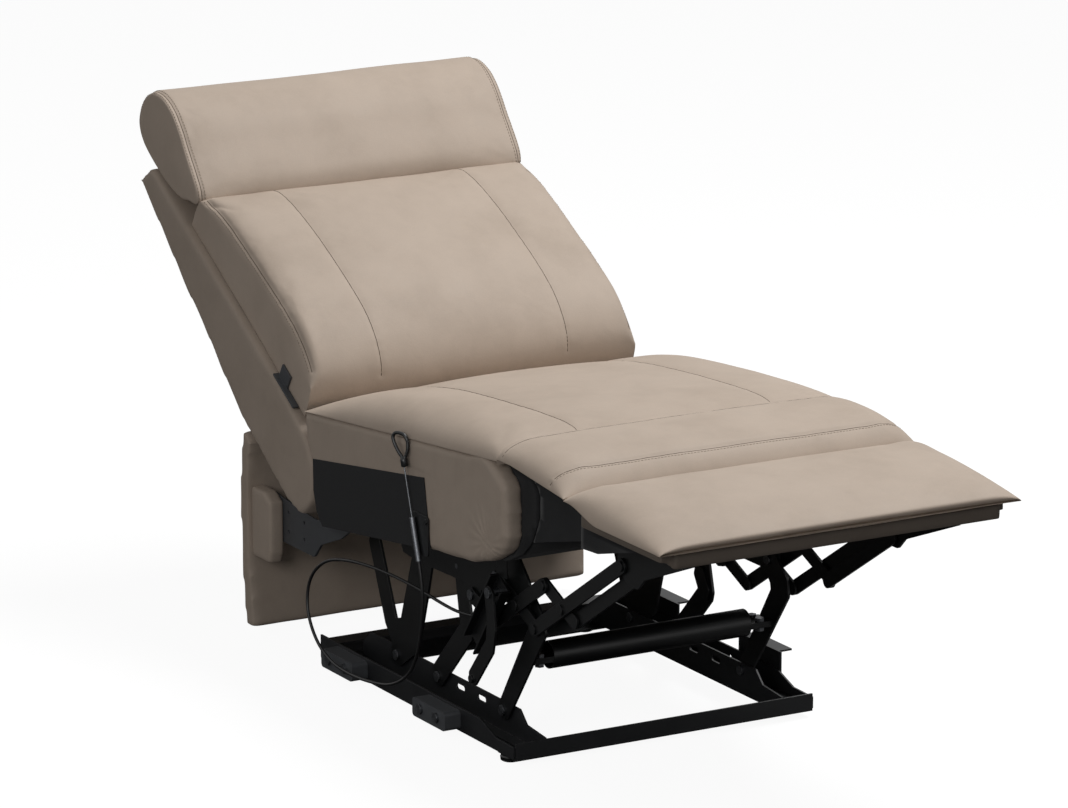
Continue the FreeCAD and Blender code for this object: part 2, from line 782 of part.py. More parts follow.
deckLow = value["deckThick"]
deck = board("seat_deck", 1, -value["innerBoard"],
             [(516, seatTop(516)), (-48, seatTop(-48)), (-48, seatTop(-48) - deckLow),
              (516, seatTop(516) - deckLow)], 2 * value["innerBoard"])
keep(deck, "seat_deck")


def sideCover(name, side):
    corners = [(510, 349), (158, 401), (139, 295), (481, 249), (499, 268), (509, 300)]
    keep(board(name, side, value["halfWidth"], corners, "coverThick"), name)


sideCover("side_cover_right", -1)
sideCover("side_cover_left", 1)


# Rear skirt
blockDeep = 24.0


def panelBracket(label, side):
    corners = [(420, 262), (420, 300), (470, 300), (488, 262), (500, 246), (560, 236), (600, 238),
               (716, 250), (716, 175), (568, 175), (545, 200), (480, 225)]
    bores = [((600, 195), 3.0), ((600, 222), 3.0), ((652, 195), 3.0), ((652, 226), 3.0)]
    return board(label, side, value["halfWidth"] - 34, corners, "plate", bores,
                 [(6.0, cornerEdges(corners[4:7] + corners[9:11]))])


both("panel_brackets", panelBracket)


def panelBlock(label, side):
    corners = [(668, 160), (674, 141), (731, 141), (733, 193), (733, 253), (690, 253), (668, 240)]
    rounded = faceEdges(side * blockDeep, lambda y, z: y < 725)
    return board(label, side, value["halfWidth"] - 30, corners, blockDeep, [], [(5.0, rounded)])


both("panel_blocks", panelBlock)

panelOuter = [(745, 344), (756, 298), (758, 269), (758, 193), (756, 128), (750, 81), (744, 34), (740, 26)]
panelInner = [(716, 28), (723, 81), (731, 128), (733, 193), (733, 269), (730, 298), (722, 324)]
rearPanel = board("rear_panel", 1, -value["halfWidth"], panelOuter + panelInner, 2 * value["halfWidth"])
keep(rearPanel, "rear_panel")


# Soft pieces are lofted across the chair through side view sections.
# A section is a start point and moves: one point for a line, two for an arc through the first.
def sectionWire(x, start, moves):
    here = FreeCAD.Vector(x, start[0], start[1])
    edges = []
    for move in moves:
        if len(move) == 1:
            there = FreeCAD.Vector(x, move[0][0], move[0][1])
            edges.append(Part.LineSegment(here, there).toShape())
        else:
            middle = FreeCAD.Vector(x, move[0][0], move[0][1])
            there = FreeCAD.Vector(x, move[1][0], move[1][1])
            edges.append(Part.Arc(here, middle, there).toShape())
        here = there
    return Part.Wire(edges)


def softPiece(name, stations, section, frame="chair"):
    wires = []
    for x, fullness in stations:
        start, moves = section(fullness)
        wires.append(sectionWire(x, start, moves))
    piece = doc.addObject("Part::Feature", name)
    piece.Shape = Part.makeLoft(wires, True, False)
    seatOnFrame(piece, 0, frame)
    return keep(piece, name)


def rowOf(half, ends, middle):
    left = [(-half + inset, fullness) for inset, fullness in ends]
    right = [(-x, fullness) for x, fullness in reversed(left)]
    return left + middle + right


# The middle of an arc that bows out on the right of the way from a to b.
def bulge(a, b, share):
    return ((a[0] + b[0]) / 2 - share * (b[1] - a[1]), (a[1] + b[1]) / 2 + share * (b[0] - a[0]))


seamOut = 0.55 * value["halfWidth"]
between = value["halfWidth"] / 3
seams = [(-seamOut, 0.975), (-between, 0.995), (-0.4 * between, 1.0), (0.4 * between, 1.0),
         (between, 0.995), (seamOut, 0.975)]
plain = [(-between, 1.0), (0, 1.0), (between, 1.0)]
edgeRow = [(0, 0.12), (4, 0.32), (11, 0.52), (24, 0.72), (46, 0.87), (80, 0.96)]


def seatSection(f):
    low = seatTop
    tops = [(528, 424), (470, 446), (400, 468), (300, 486), (150, 500), (0, 507), (-58, 507)]

    def top(number):
        y, z = tops[number]
        return (y, low(y) + 1 + f * (z - low(y) - 1))
    start = (541, low(541))
    moves = [[(-58, low(-58))], [top(6)], [top(5), top(4)], [top(3), top(2)], [top(1), top(0)],
             [start]]
    return start, moves


softPiece("seat_cushion", rowOf(value["halfWidth"], edgeRow, seams), seatSection)


def kneeSection(f):
    low = [(-60, 478), (-150, 476), (-246, 464)]
    start = low[0]

    def top(y, z, base):
        return (y, base + 1 + f * (z - base - 1))
    moves = [[low[1]], [low[2]], [top(-249, 472, 464)], [top(-236, 493, 466), top(-212, 503, 468)],
             [top(-150, 513, 475), top(-60, 508, 478)], [start]]
    return start, moves


softPiece("knee_pad", rowOf(value["halfWidth"], edgeRow, plain), kneeSection)


def footSection(f):
    base = 444.0

    def top(y, z):
        return (y, base + 1 + f * (z - base - 1))
    start = (-274, base)
    noseLow = (-510, base)
    noseTop = top(-510, 458)
    rearTop = top(-262, 471)
    rearLow = (-262, base)
    moves = [[noseLow], [bulge(noseLow, noseTop, 0.42), noseTop], [top(-430, 474), top(-340, 480)],
             [top(-290, 480), rearTop], [bulge(rearTop, rearLow, 0.30), rearLow], [start]]
    return start, moves


softPiece("footrest_pad", rowOf(value["halfWidth"], edgeRow, plain), footSection)


def backSection(f):
    base = 14.0

    def top(u, w):
        return (u, base + 44 + f * (w - base - 44))
    start = (40, base)
    moves = [[(474, base)], [(478, 56)], [top(472, 70), top(440, 80)], [top(330, 100), top(200, 118)],
             [top(110, 124), top(62, 100)], [top(45, 82), (40, 50)], [start]]
    return start, moves


backHalf = value["halfWidth"] - 12
softPiece("back_cushion", rowOf(backHalf, edgeRow, seams), backSection, "back")


def headSection(f):
    middleU = 595.0
    middleW = 72.0

    def ring(u, w):
        return (middleU + (0.9 + 0.1 * f) * (u - middleU), middleW + (0.9 + 0.1 * f) * (w - middleW))
    start = ring(500, 46)
    moves = [[ring(560, 19), ring(622, 12.6)], [ring(698, 24), ring(712, 62)],
             [ring(700, 104), ring(640, 130)], [ring(560, 134), ring(476, 84)], [start]]
    return start, moves


headHalf = value["halfWidth"] - 5
headRow = [(0, 0.0), (5, 0.35), (12, 0.6), (24, 0.82), (42, 0.94), (70, 0.985), (110, 1.0), (160, 1.0)]
headMiddle = [(share * value["halfWidth"], 1.0) for share in (-0.3, -0.1, 0.1, 0.3)]
softPiece("headrest", rowOf(headHalf, headRow, headMiddle), headSection, "back")


# Footrest board and front strip
boardHalf = value["halfWidth"] - 15
footBoard = board("footrest_board", 1, -boardHalf, [(-494, 426), (-274, 426), (-274, 444), (-494, 444)],
                  2 * boardHalf)
keep(footBoard, "footrest_board")
stripHalf = value["halfWidth"] - 29
strip = board("footrest_strip", 1, -stripHalf, [(-509, 419), (-494, 419), (-494, 443.7), (-509, 443.7)],
              2 * stripHalf)
keep(strip, "footrest_strip")


# Dust cloth, a shallow bag between the front roll and the footrest
def dustCloth():
    pieces = []
    sheetLine = [(-113, 363.2), (-264, 402), (-273.7, 428), (-273.7, 440), (-271.7, 440), (-262, 404),
                 (-113.6, 365.2)]
    half = value["halfWidth"] - value["sideThick"]
    pieces.append(board("clothFloor", 1, -half, sheetLine, 2 * half))
    gusset = [(-113.6, 365.2), (-262, 404), (-262, 440), (-253, 443), (-252, 462), (-150, 475.5),
              (-82, 476.6), (-104.3, 461.6), (-127.3, 446.4), (-133.3, 436), (-133.3, 406)]
    for side in (-1, 1):
        pieces.append(board("clothSide%d" % (side + 1), side, half - value["clothThick"], gusset,
                            "clothThick"))
    whole = doc.addObject("Part::MultiFuse", "dust_cloth")
    whole.Shapes = pieces
    keep(whole, "dust_cloth")


dustCloth()


# Back frame, a wedge that is thin at the top
def backFrame():
    profile = [(620, 12), (641, -33), (176, -122), (0, -127), (-46, -116), (-58, -80), (-55, -57),
               (-31, -20), (0, 0), (76, 9), (123, 13)]
    wedge = board("backWedge", 1, -value["halfWidth"], profile, 2 * value["halfWidth"], [], [], [], "back")
    notches = []
    for side in (-1, 1):
        inner = value["legInner"] - 4
        deep = value["swingInner"] + value["plate"] - inner
        pocket = board("notch%d" % (side + 1), side, inner,
                       [(-60, -100), (50, -100), (50, 20), (-60, 20)], deep, [], [], [], "back")
        notches.append(pocket)
    cutters = doc.addObject("Part::Compound", "notches")
    cutters.Links = notches
    frame = doc.addObject("Part::Cut", "back_frame")
    frame.Base = wedge
    frame.Tool = cutters
    keep(frame, "back_frame")


backFrame()


def backArm(label, side):
    # backHinge lies at (-1, 41) and rodBack at (-14, -15) in the back's own frame
    tilt = math.radians(value["backTilt"])

    def local(name):
        dy = value[name + "Y"] - value["backOriginY"]
        dz = value[name + "Z"] - value["backOriginZ"]
        return (dy * math.cos(tilt) + dz * math.sin(tilt), -dy * math.sin(tilt) + dz * math.cos(tilt))
    hinge = local("backHinge")
    rod = local("rodBack")
    corners = [(hinge[0] + 10, hinge[1] + 6), (hinge[0], hinge[1] + 12), (hinge[0] - 11, hinge[1] + 4),
               (rod[0] - 15, rod[1] + 4), (rod[0] - 10, rod[1] - 14), (46, -60), (46, -8), (14, 4)]
    return board(label, side, value["swingInner"], corners, "plate",
                 [(hinge, running), (rod, tight)],
                 [(5.0, cornerEdges(corners[:1] + corners[1:5]))], [], "back")


def backArms():
    pieces = [backArm("backArmRight", -1), backArm("backArmLeft", 1)]
    for side in (-1, 1):
        pieces.append(rivet("rodPin%d" % (side + 1), side, "rodBack",
                            value["legInner"] - 0.3, value["swingInner"] + value["plate"], "inner"))
    joinPieces("back_hinge_arms", pieces)


backArms()


def recliningRod(label, side):
    y1, z1 = at("rodCrank")
    y2, z2 = at("rodBack")
    long = math.hypot(y2 - y1, z2 - z1)
    half = 8.0
    dy = (y2 - y1) / long * half
    dz = (z2 - z1) / long * half
    # the rear eye is wide open round its pin, which lets the rod follow the back freely
    eye = 15.0 / half
    neck = 22.0 / half
    corners = [("rodCrank", -dy - dz, -dz + dy), ("rodBack", -neck * dy - dz, -neck * dz + dy),
               ("rodBack", -eye * dy - eye * dz, -eye * dz + eye * dy),
               ("rodBack", eye * dy - eye * dz, eye * dz + eye * dy),
               ("rodBack", eye * dy + eye * dz, eye * dz - eye * dy),
               ("rodBack", -eye * dy + eye * dz, -eye * dz - eye * dy),
               ("rodBack", -neck * dy + dz, -neck * dz - dy), ("rodCrank", -dy + dz, -dz - dy)]
    return board(label, side, value["legInner"], corners, "legThick",
                 [(("rodCrank", 0, 0), running), (("rodBack", 0, 0), "eyeRadius")],
                 [(half * 0.9, cornerEdges(corners[:1] + corners[-1:])), (12.0, cornerEdges(corners[2:6]))])


both("recline_rods", recliningRod)


def backBracket(label, side):
    return board(label, side, value["halfWidth"] - 11, [(60, 13.2), (136, 13.2), (136, 16.2), (60, 16.2)], 10.0, [], [],
                 [([(100, 13.2), (130, 13.2), (130, 40), (100, 40)], 3.0, True)], "back")


both("back_brackets", backBracket)


# Release parts, the latch stands out from the right seat plate
channelFace = value["seatInner"] + 19
leverFace = channelFace + 17
leverPivot = (52.0, 244.0)


def latchChannel():
    web = [(24, 249), (56, 271), (138, 158), (106, 135)]
    front = [(24, 249), (26.4, 250.7), (108.4, 136.7), (106, 135)]
    rear = [(53.6, 269.3), (56, 271), (138, 158), (135.6, 156.3)]
    top = [(30, 268), (60, 268), (60, 305), (30, 305)]
    channel = board("latch_channel", -1, channelFace, web, "legThick", [(leverPivot, tight)], [],
                    [(front, 16.0, True), (rear, 16.0, True), (top, "legThick", True)])
    keep(channel, "latch_channel")


latchChannel()


def latchLever():
    corners = [(40, 246), (52, 257), (65, 246), (56, 200), (60, 170), (112, 108), (110, 92), (94, 90),
               (40, 154), (32, 190)]
    lever = board("leverPlate", -1, leverFace, corners, "plate", [(leverPivot, running)],
                  [(7.0, cornerEdges(corners[:3] + corners[5:8]))])
    bolt = cylinder("leverBolt", leverFace + value["plate"], 101.0, 100.0, 6.0, 4.0, -1)
    whole = doc.addObject("Part::MultiFuse", "latch_lever")
    whole.Shapes = [lever, bolt]
    keep(whole, "latch_lever")
    long = leverFace + endThick - channelFace
    stud = cylinder("latchStudShank", channelFace, *leverPivot, "rivetRadius", long, -1)
    head = cylinder("latchStudHead", channelFace + long, *leverPivot, "headRadius", 2.5, -1)
    collar = cylinder("latchStudCollar", channelFace + value["legThick"], *leverPivot, 6.5,
                      leverFace - channelFace - value["legThick"] - 0.3, -1)
    pin = doc.addObject("Part::MultiFuse", "latch_stud")
    pin.Shapes = [stud, head, collar]
    keep(pin, "latch_stud")


latchLever()


def releaseFrame(thing, along):
    lean = FreeCAD.Rotation(FreeCAD.Vector(1, 0, 0), value["releaseTilt"])
    mouth = FreeCAD.Vector(value["releaseX"], value["releaseY"] - value["originShift"], value["releaseZ"])
    thing.Placement = FreeCAD.Placement(mouth + lean.multVec(FreeCAD.Vector(0, 0, along)), lean)


def upright(label, radius, low, long):
    post = doc.addObject("Part::Cylinder", label)
    post.Radius = value[radius]
    post.setExpression("Radius", ref(radius))
    post.Height = value[long]
    post.setExpression("Height", ref(long))
    releaseFrame(post, value[low])
    return post


def cableEnd():
    barrel = upright("endBarrel", "fittingRadius", "fittingLow", "fittingLong")
    bore = upright("endBore", "boreRadius", "wireLow", "boreDepth")
    whole = doc.addObject("Part::Cut", "cable_end_fitting")
    whole.Base = barrel
    whole.Tool = bore
    keep(whole, "cable_end_fitting")
    keep(upright("pull_wire", "wireRadius", "wireLow", "wireLong"), "pull_wire")


cableEnd()


# A round tube along straight runs joined by tangent arcs.
def tubeAlong(points, radius, report):
    spots = [FreeCAD.Vector(*point) for point in points]
    edges = []
    here = spots[0]
    radii = []
    for i in range(1, len(spots) - 1):
        back = spots[i - 1] - spots[i]
        ahead = spots[i + 1] - spots[i]
        trim = 0.45 * min(back.Length, ahead.Length)
        turn = math.pi - back.getAngle(ahead)
        radii.append(trim / math.tan(turn / 2))
        first = spots[i] + back * (trim / back.Length)
        last = spots[i] + ahead * (trim / ahead.Length)
        inward = (back * (1 / back.Length) + ahead * (1 / ahead.Length))
        inward = inward * (1 / inward.Length)
        centre = spots[i] + inward * math.hypot(trim, radii[-1])
        middle = centre - inward * radii[-1]
        edges.append(Part.LineSegment(here, first).toShape())
        edges.append(Part.Arc(first, middle, last).toShape())
        here = last
    edges.append(Part.LineSegment(here, spots[-1]).toShape())
    path = Part.Wire(edges)
    along = spots[1] - spots[0]
    ring = Part.Wire([Part.Circle(spots[0], along, radius).toShape()])
    tube = path.makePipeShell([ring], True, False)
    expected = math.pi * radius * radius * path.Length
    print(report, "length", round(path.Length, 1), "least bend", round(min(radii), 1),
          "volume ratio", round(tube.Volume / expected, 4))
    return tube


def cableSheath():
    lean = math.radians(value["releaseTilt"])
    low = value["fittingLow"]
    x = value["releaseX"]
    out = value["halfWidth"]
    start = (x, value["releaseY"] - low * math.sin(lean), value["releaseZ"] + low * math.cos(lean))
    route = [start, (x, 149, 232), (-out - 7, 155, 178), (-out - 5, 172, 125), (-out - 3, 205, 83),
             (-out - 5, 258, 55), (-out - 8, 318, 46), (-out - 10, 380, 42), (-out - 10, 440, 46),
             (-out - 7, 495, 66), (-out - 2, 534, 106), (-out + 2, 532, 156), (-out + 7, 490, 193),
             (-out + 13, 432, 207), (-out + 21, 370, 211), (-out + 32, 308, 208),
             (-out + 43, 250, 200), (-out + 53, 195, 189), (-out + 58, 155, 186), (-out + 61, 119, 190)]
    piece = doc.addObject("Part::Feature", "cable_sheath")
    piece.Shape = tubeAlong(route, value["sheathRadius"], "cable sheath")
    seatOnFrame(piece, 0, "chair")
    keep(piece, "cable_sheath")


cableSheath()


def pullRing():
    loop = tubeAlong([(0, -3, 0), (0, -8, 12), (0, -15, 23), (0, -9, 36), (0, 4, 41), (0, 14, 32),
                      (0, 12, 19), (0, 7, 10), (0, 3, 0)], 2.5, "pull ring")
    ferrule = Part.makeCylinder(6, 14, FreeCAD.Vector(0, 0, -12), FreeCAD.Vector(0, 0, 1))
    bore = Part.makeCylinder(value["wireRadius"], 11, FreeCAD.Vector(0, 0, -12), FreeCAD.Vector(0, 0, 1))
    piece = doc.addObject("Part::Feature", "pull_ring")
    piece.Shape = ferrule.fuse(loop).cut(bore)
    releaseFrame(piece, value["ringLow"] + 12)
    keep(piece, "pull_ring")


pullRing()


def cableGuide():
    corners = [(142, 283), (192, 283), (192, 344), (142, 344)]
    screwFace = value["halfWidth"] + value["coverThick"] + 2.0
    plate = board("guidePlate", -1, value["halfWidth"] + value["coverThick"], corners, 2.0, [],
                  [(6.0, cornerEdges(corners))])
    pieces = [plate]
    for number, y in enumerate((150.0, 184.0)):
        pieces.append(cylinder("guideScrew%d" % number, screwFace, y, 335.0 - 40.0 * number, 4.0, 2.0, -1))
    whole = doc.addObject("Part::MultiFuse", "cable_guide")
    whole.Shapes = pieces
    keep(whole, "cable_guide")


cableGuide()

doc.recompute()

os.makedirs("parts", exist_ok=True)
for old in os.listdir("parts"):
    os.remove(os.path.join("parts", old))
allBox = FreeCAD.BoundBox()
for thing in doc.Objects:
    if "Invalid" in thing.State or "Error" in thing.State:
        print("not well", thing.Label, thing.State)
for node in nodes:
    if node.Shape.isNull() or not node.Shape.isValid():
        print("bad shape", node.Label)
        continue
    node.Shape.exportStep("parts/%s.step" % node.Label)
    box = node.Shape.BoundBox
    allBox.add(box)
    print("%-24s %2d solids  x %7.1f %7.1f  y %7.1f %7.1f  z %7.1f %7.1f  volume %.0f" % (
        node.Label, len(node.Shape.Solids), box.XMin, box.XMax, box.YMin, box.YMax, box.ZMin, box.ZMax,
        node.Shape.Volume))
print(len(nodes), "pieces, box", allBox)
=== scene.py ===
import math
import bmesh
import bpy
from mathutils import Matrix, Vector, noise
from mathutils.bvhtree import BVHTree
from mathutils.kdtree import KDTree


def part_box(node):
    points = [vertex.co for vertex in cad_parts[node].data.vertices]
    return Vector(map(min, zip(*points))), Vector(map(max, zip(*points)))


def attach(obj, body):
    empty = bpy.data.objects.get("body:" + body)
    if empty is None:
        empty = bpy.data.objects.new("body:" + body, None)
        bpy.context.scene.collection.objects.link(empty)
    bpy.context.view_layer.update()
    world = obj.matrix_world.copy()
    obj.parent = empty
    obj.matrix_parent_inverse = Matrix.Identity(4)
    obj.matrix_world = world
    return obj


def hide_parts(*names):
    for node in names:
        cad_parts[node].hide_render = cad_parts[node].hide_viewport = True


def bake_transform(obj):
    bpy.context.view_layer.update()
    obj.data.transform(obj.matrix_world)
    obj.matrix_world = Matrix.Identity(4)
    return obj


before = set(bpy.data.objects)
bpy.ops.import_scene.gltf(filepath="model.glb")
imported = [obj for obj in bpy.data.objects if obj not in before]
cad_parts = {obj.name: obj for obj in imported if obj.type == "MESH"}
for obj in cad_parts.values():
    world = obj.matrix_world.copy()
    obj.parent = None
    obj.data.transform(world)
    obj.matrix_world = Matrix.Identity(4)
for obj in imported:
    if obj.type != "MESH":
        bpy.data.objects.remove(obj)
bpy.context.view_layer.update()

# Armless manual recliner seat, fully open. Metres, x to the sitter's left, y to the rear, z up.
scene = bpy.context.scene
scene.view_settings.view_transform = "Standard"

# The drawing measures y from the front glides and the row from the middle of the chair.
drawingShift = 0.302
backFrame = {"y": 0.232, "z": 0.370, "tilt": math.radians(31)}


def fromDrawing(x, y, z):
    return Vector((x / 1000, y / 1000 - drawingShift, z / 1000))


# A point given along the back (u), out of it (w) and across (x), all in millimetres.
def fromBack(x, u, w):
    lean = backFrame["tilt"]
    y = (u * math.cos(lean) - w * math.sin(lean)) / 1000
    z = (u * math.sin(lean) + w * math.cos(lean)) / 1000
    return Vector((x / 1000, backFrame["y"] + y, backFrame["z"] + z))


def backWay(u, w):
    return (fromBack(0, u, w) - fromBack(0, 0, 0)).normalized()


# Camera, at the photograph's angle
viewpoint = {"place": (-4.471, -7.779, 2.730), "aside": -29.71, "down": 14.3, "lens": 206.3,
             "sensor": 36.0}


def placeCamera():
    lens = bpy.data.cameras.new("photoCamera")
    lens.lens = viewpoint["lens"]
    lens.sensor_width = viewpoint["sensor"]
    lens.sensor_fit = "HORIZONTAL"
    lens.clip_end = 100
    camera = bpy.data.objects.new("photoCamera", lens)
    scene.collection.objects.link(camera)
    aside = math.radians(viewpoint["aside"])
    down = math.radians(viewpoint["down"])
    towards = Vector((math.sin(aside) * math.cos(down), -math.cos(aside) * math.cos(down), math.sin(down)))
    camera.rotation_euler = (-towards).to_track_quat("-Z", "Y").to_euler()
    camera.location = viewpoint["place"]
    scene.camera = camera


placeCamera()
print("camera in place")


# Materials
def toLinear(code, alpha=1.0):
    channels = [int(code[i:i + 2], 16) / 255 for i in (1, 3, 5)]
    linear = [c / 12.92 if c <= 0.04045 else ((c + 0.055) / 1.055) ** 2.4 for c in channels]
    return (*linear, alpha)


# Adds one node. Settings name its inputs or properties, links name or number its inputs.
def addNode(tree, kind, settings=None, links=None):
    node = tree.nodes.new(kind)
    for name, setting in (settings or {}).items():
        if name == "stops":
            for number, (spot, colour) in enumerate(setting):
                stops = node.color_ramp.elements
                stop = stops[number] if number < len(stops) else stops.new(spot)
                stop.position = spot
                stop.color = colour
        elif name in node.inputs:
            node.inputs[name].default_value = setting
        else:
            setattr(node, name, setting)
    for name, source in (links or {}).items():
        tree.links.new(source, node.inputs[name])
    return node


def newMaterial(name):
    material = bpy.data.materials.new(name)
    material.use_nodes = True
    tree = material.node_tree
    tree.nodes.clear()
    place = addNode(tree, "ShaderNodeTexCoord").outputs["Object"]
    return material, tree, place


def finishMaterial(tree, settings, links):
    shader = addNode(tree, "ShaderNodeBsdfPrincipled", settings, links)
    addNode(tree, "ShaderNodeOutputMaterial", links={"Surface": shader.outputs[0]})


def grey(level):
    return (level, level, level, 1.0)


# Noise whose patches are this many metres wide.
def noiseOf(tree, place, size, detail, **more):
    return addNode(tree, "ShaderNodeTexNoise", {"Scale": 1 / size, "Detail": detail, **more},
                   {"Vector": place}).outputs["Fac"]


def rampOf(tree, source, *stops):
    return addNode(tree, "ShaderNodeValToRGB", {"stops": stops}, {"Fac": source}).outputs["Color"]


def rangeOf(tree, source, low, high):
    return addNode(tree, "ShaderNodeMapRange", {"To Min": low, "To Max": high},
                   {"Value": source}).outputs[0]


def multiplied(tree, first, second):
    return addNode(tree, "ShaderNodeMix", {"data_type": "RGBA", "blend_type": "MULTIPLY", "Factor": 1.0},
                   {6: first, 7: second}).outputs[2]


# Relief of the given strength and depth in metres, laid over another relief if one is given.
def reliefOf(tree, height, strength, depth, under=None):
    links = {"Height": height, "Normal": under} if under else {"Height": height}
    return addNode(tree, "ShaderNodeBump", {"Strength": strength, "Distance": depth},
                   links).outputs["Normal"]


def rolledEdge(tree, radius):
    return addNode(tree, "ShaderNodeBevel", {"samples": 4, "Radius": radius}).outputs["Normal"]


# Taupe faux nubuck: brushed microfibre on a knitted back. It looks matt and dry, drifts softly
# between lighter and darker where the nap was stroked, and has a faint bloom at grazing angles.
nubuckLook = {
    "shade": "#bcac9d", "light": "#c0b0a1", "deep": "#b5a596", "bloom": "#d8cabb",
    "cloud": 0.11, "stroke": 0.028, "nap": 0.0013, "pore": 0.00208,   # metres between patches
    "strokeTone": 0.965, "napTone": 0.93,   # darkest share of the colour in a stroke, between fibres
    "poreDepth": 0.0004, "strokeDepth": 0.0016,
    "smoothest": 0.55, "roughest": 0.70, "sheen": 0.22,
}


def brushedNubuck(name, paintedShade=0.0):
    material, tree, place = newMaterial(name)
    look = nubuckLook
    cloud = noiseOf(tree, place, look["cloud"], 5.0, Roughness=0.62)
    stroke = noiseOf(tree, place, look["stroke"], 3.0, Distortion=0.6)
    nap = noiseOf(tree, place, look["nap"], 2.0)
    deep, middle, light = (toLinear(look[shade]) for shade in ("deep", "shade", "light"))
    # A darkened copy paints shade into the colour, for faces that the lamps leave dark.
    if paintedShade:
        deep, middle, light = (tuple(c * (1 - paintedShade) for c in shade[:3]) + (1.0,)
                               for shade in (deep, middle, light))
    cloudColour = rampOf(tree, cloud, (0.30, deep), (0.72, light), (0.50, middle))
    strokeTone = rampOf(tree, stroke, (0.3, grey(look["strokeTone"])), (0.7, grey(1.0)))
    napTone = rampOf(tree, nap, (0.25, grey(look["napTone"])), (0.75, grey(1.0)))
    colour = multiplied(tree, multiplied(tree, cloudColour, strokeTone), napTone)
    pores = addNode(tree, "ShaderNodeTexVoronoi", {"Scale": 1 / look["pore"], "feature": "SMOOTH_F1"},
                    {"Vector": place})
    fine = reliefOf(tree, pores.outputs["Distance"], 0.16, look["poreDepth"])
    soft = reliefOf(tree, stroke, 0.22, look["strokeDepth"], fine)
    finishMaterial(tree, {"IOR": 1.45, "Sheen Weight": look["sheen"], "Sheen Roughness": 0.45,
                          "Sheen Tint": toLinear(look["bloom"]), "Specular IOR Level": 0.32},
                   {"Base Color": colour, "Normal": soft,
                    "Roughness": rangeOf(tree, stroke, look["smoothest"], look["roughest"])})
    return material


# Painted sheet steel. Edges are rolled by the press, so they catch a thin line of light, and the
# coat is thinnest there. Edges show where the rolled normal leaves the flat one.
steelLook = {"edgeRadius": 0.0009, "edgeStart": 0.98, "edgeEnd": 0.80, "dust": 1 / 22, "peelDepth": 0.0003,
             "smoother": 0.06, "rougher": 0.10}


def paintedSteel(name, coat, edge, roughness, peel, worn):
    material, tree, place = newMaterial(name)
    look = steelLook
    orangePeel = noiseOf(tree, place, peel, 2.0)
    dust = noiseOf(tree, place, look["dust"], 4.0)
    rolled = rolledEdge(tree, look["edgeRadius"])
    flat = addNode(tree, "ShaderNodeNewGeometry").outputs["Normal"]
    agree = addNode(tree, "ShaderNodeVectorMath", {"operation": "DOT_PRODUCT"}, {0: rolled, 1: flat})
    onEdge = addNode(tree, "ShaderNodeMapRange",
                     {"From Min": look["edgeStart"], "From Max": look["edgeEnd"], "To Max": worn},
                     {"Value": agree.outputs["Value"]})
    broken = addNode(tree, "ShaderNodeMath", {"operation": "MULTIPLY"}, {0: onEdge.outputs[0], 1: dust})
    colour = addNode(tree, "ShaderNodeMix", {"data_type": "RGBA"}, {0: broken.outputs[0]})
    colour.inputs[6].default_value = toLinear(coat)
    colour.inputs[7].default_value = toLinear(edge)
    gloss = rangeOf(tree, dust, roughness - look["smoother"], roughness + look["rougher"])
    skin = reliefOf(tree, orangePeel, 0.10, look["peelDepth"], rolled)
    finishMaterial(tree, {"IOR": 1.5}, {"Base Color": colour.outputs[2], "Roughness": gloss, "Normal": skin})
    return material


# Zinc plate on turned and headed steel: a grey metal with faint cloudy patches.
zincLook = {"patch": 1 / 420, "dark": "#5c5e62", "pale": "#84868a", "smoothest": 0.30, "roughest": 0.46,
            "edgeRadius": 0.0006}


def zincPlate(name):
    material, tree, place = newMaterial(name)
    look = zincLook
    patch = addNode(tree, "ShaderNodeTexVoronoi", {"Scale": 1 / look["patch"]},
                    {"Vector": place}).outputs["Distance"]
    tone = rampOf(tree, patch, (0.0, toLinear(look["dark"])), (1.0, toLinear(look["pale"])))
    finishMaterial(tree, {"Metallic": 1.0},
                   {"Base Color": tone,
                    "Roughness": rangeOf(tree, patch, look["smoothest"], look["roughest"]),
                    "Normal": rolledEdge(tree, look["edgeRadius"])})
    return material


# Moulded or extruded plastic. The mould's spark-eroded wall leaves a fine, even grit.
plasticLook = {"darkest": 0.88, "palest": 1.12, "edgeRadius": 0.0007, "gritDepth": 0.0003}


def mouldedPlastic(name, colour, roughness, grit):
    material, tree, place = newMaterial(name)
    look = plasticLook
    spark = noiseOf(tree, place, grit, 3.0)
    tone = addNode(tree, "ShaderNodeHueSaturation", {"Color": toLinear(colour)},
                   {"Value": rangeOf(tree, spark, look["darkest"], look["palest"])})
    skin = reliefOf(tree, spark, 0.14, look["gritDepth"], rolledEdge(tree, look["edgeRadius"]))
    finishMaterial(tree, {"IOR": 1.5, "Roughness": roughness},
                   {"Base Color": tone.outputs["Color"], "Normal": skin})
    return material


# Spunbonded polypropylene cloth: a dull black felt with a grid of small pressed dimples, drawn at
# about twice their real spacing so that they show.
feltLook = {"dark": "#161718", "pale": "#29292b", "dimple": 0.0018, "dimpleDepth": 0.0004, "fibre": 1 / 700}


def spunbondCloth(name):
    material, tree, place = newMaterial(name)
    look = feltLook
    dimples = addNode(tree, "ShaderNodeTexVoronoi", {"Scale": 1 / look["dimple"], "Randomness": 0.15},
                      {"Vector": place}).outputs["Distance"]
    fibre = noiseOf(tree, place, look["fibre"], 4.0)
    tone = rampOf(tree, fibre, (0.2, toLinear(look["dark"])), (0.9, toLinear(look["pale"])))
    finishMaterial(tree, {"Roughness": 0.92, "Sheen Weight": 0.12, "Sheen Roughness": 0.5,
                          "Specular IOR Level": 0.2},
                   {"Base Color": tone, "Normal": reliefOf(tree, dimples, 0.30, look["dimpleDepth"])})
    return material


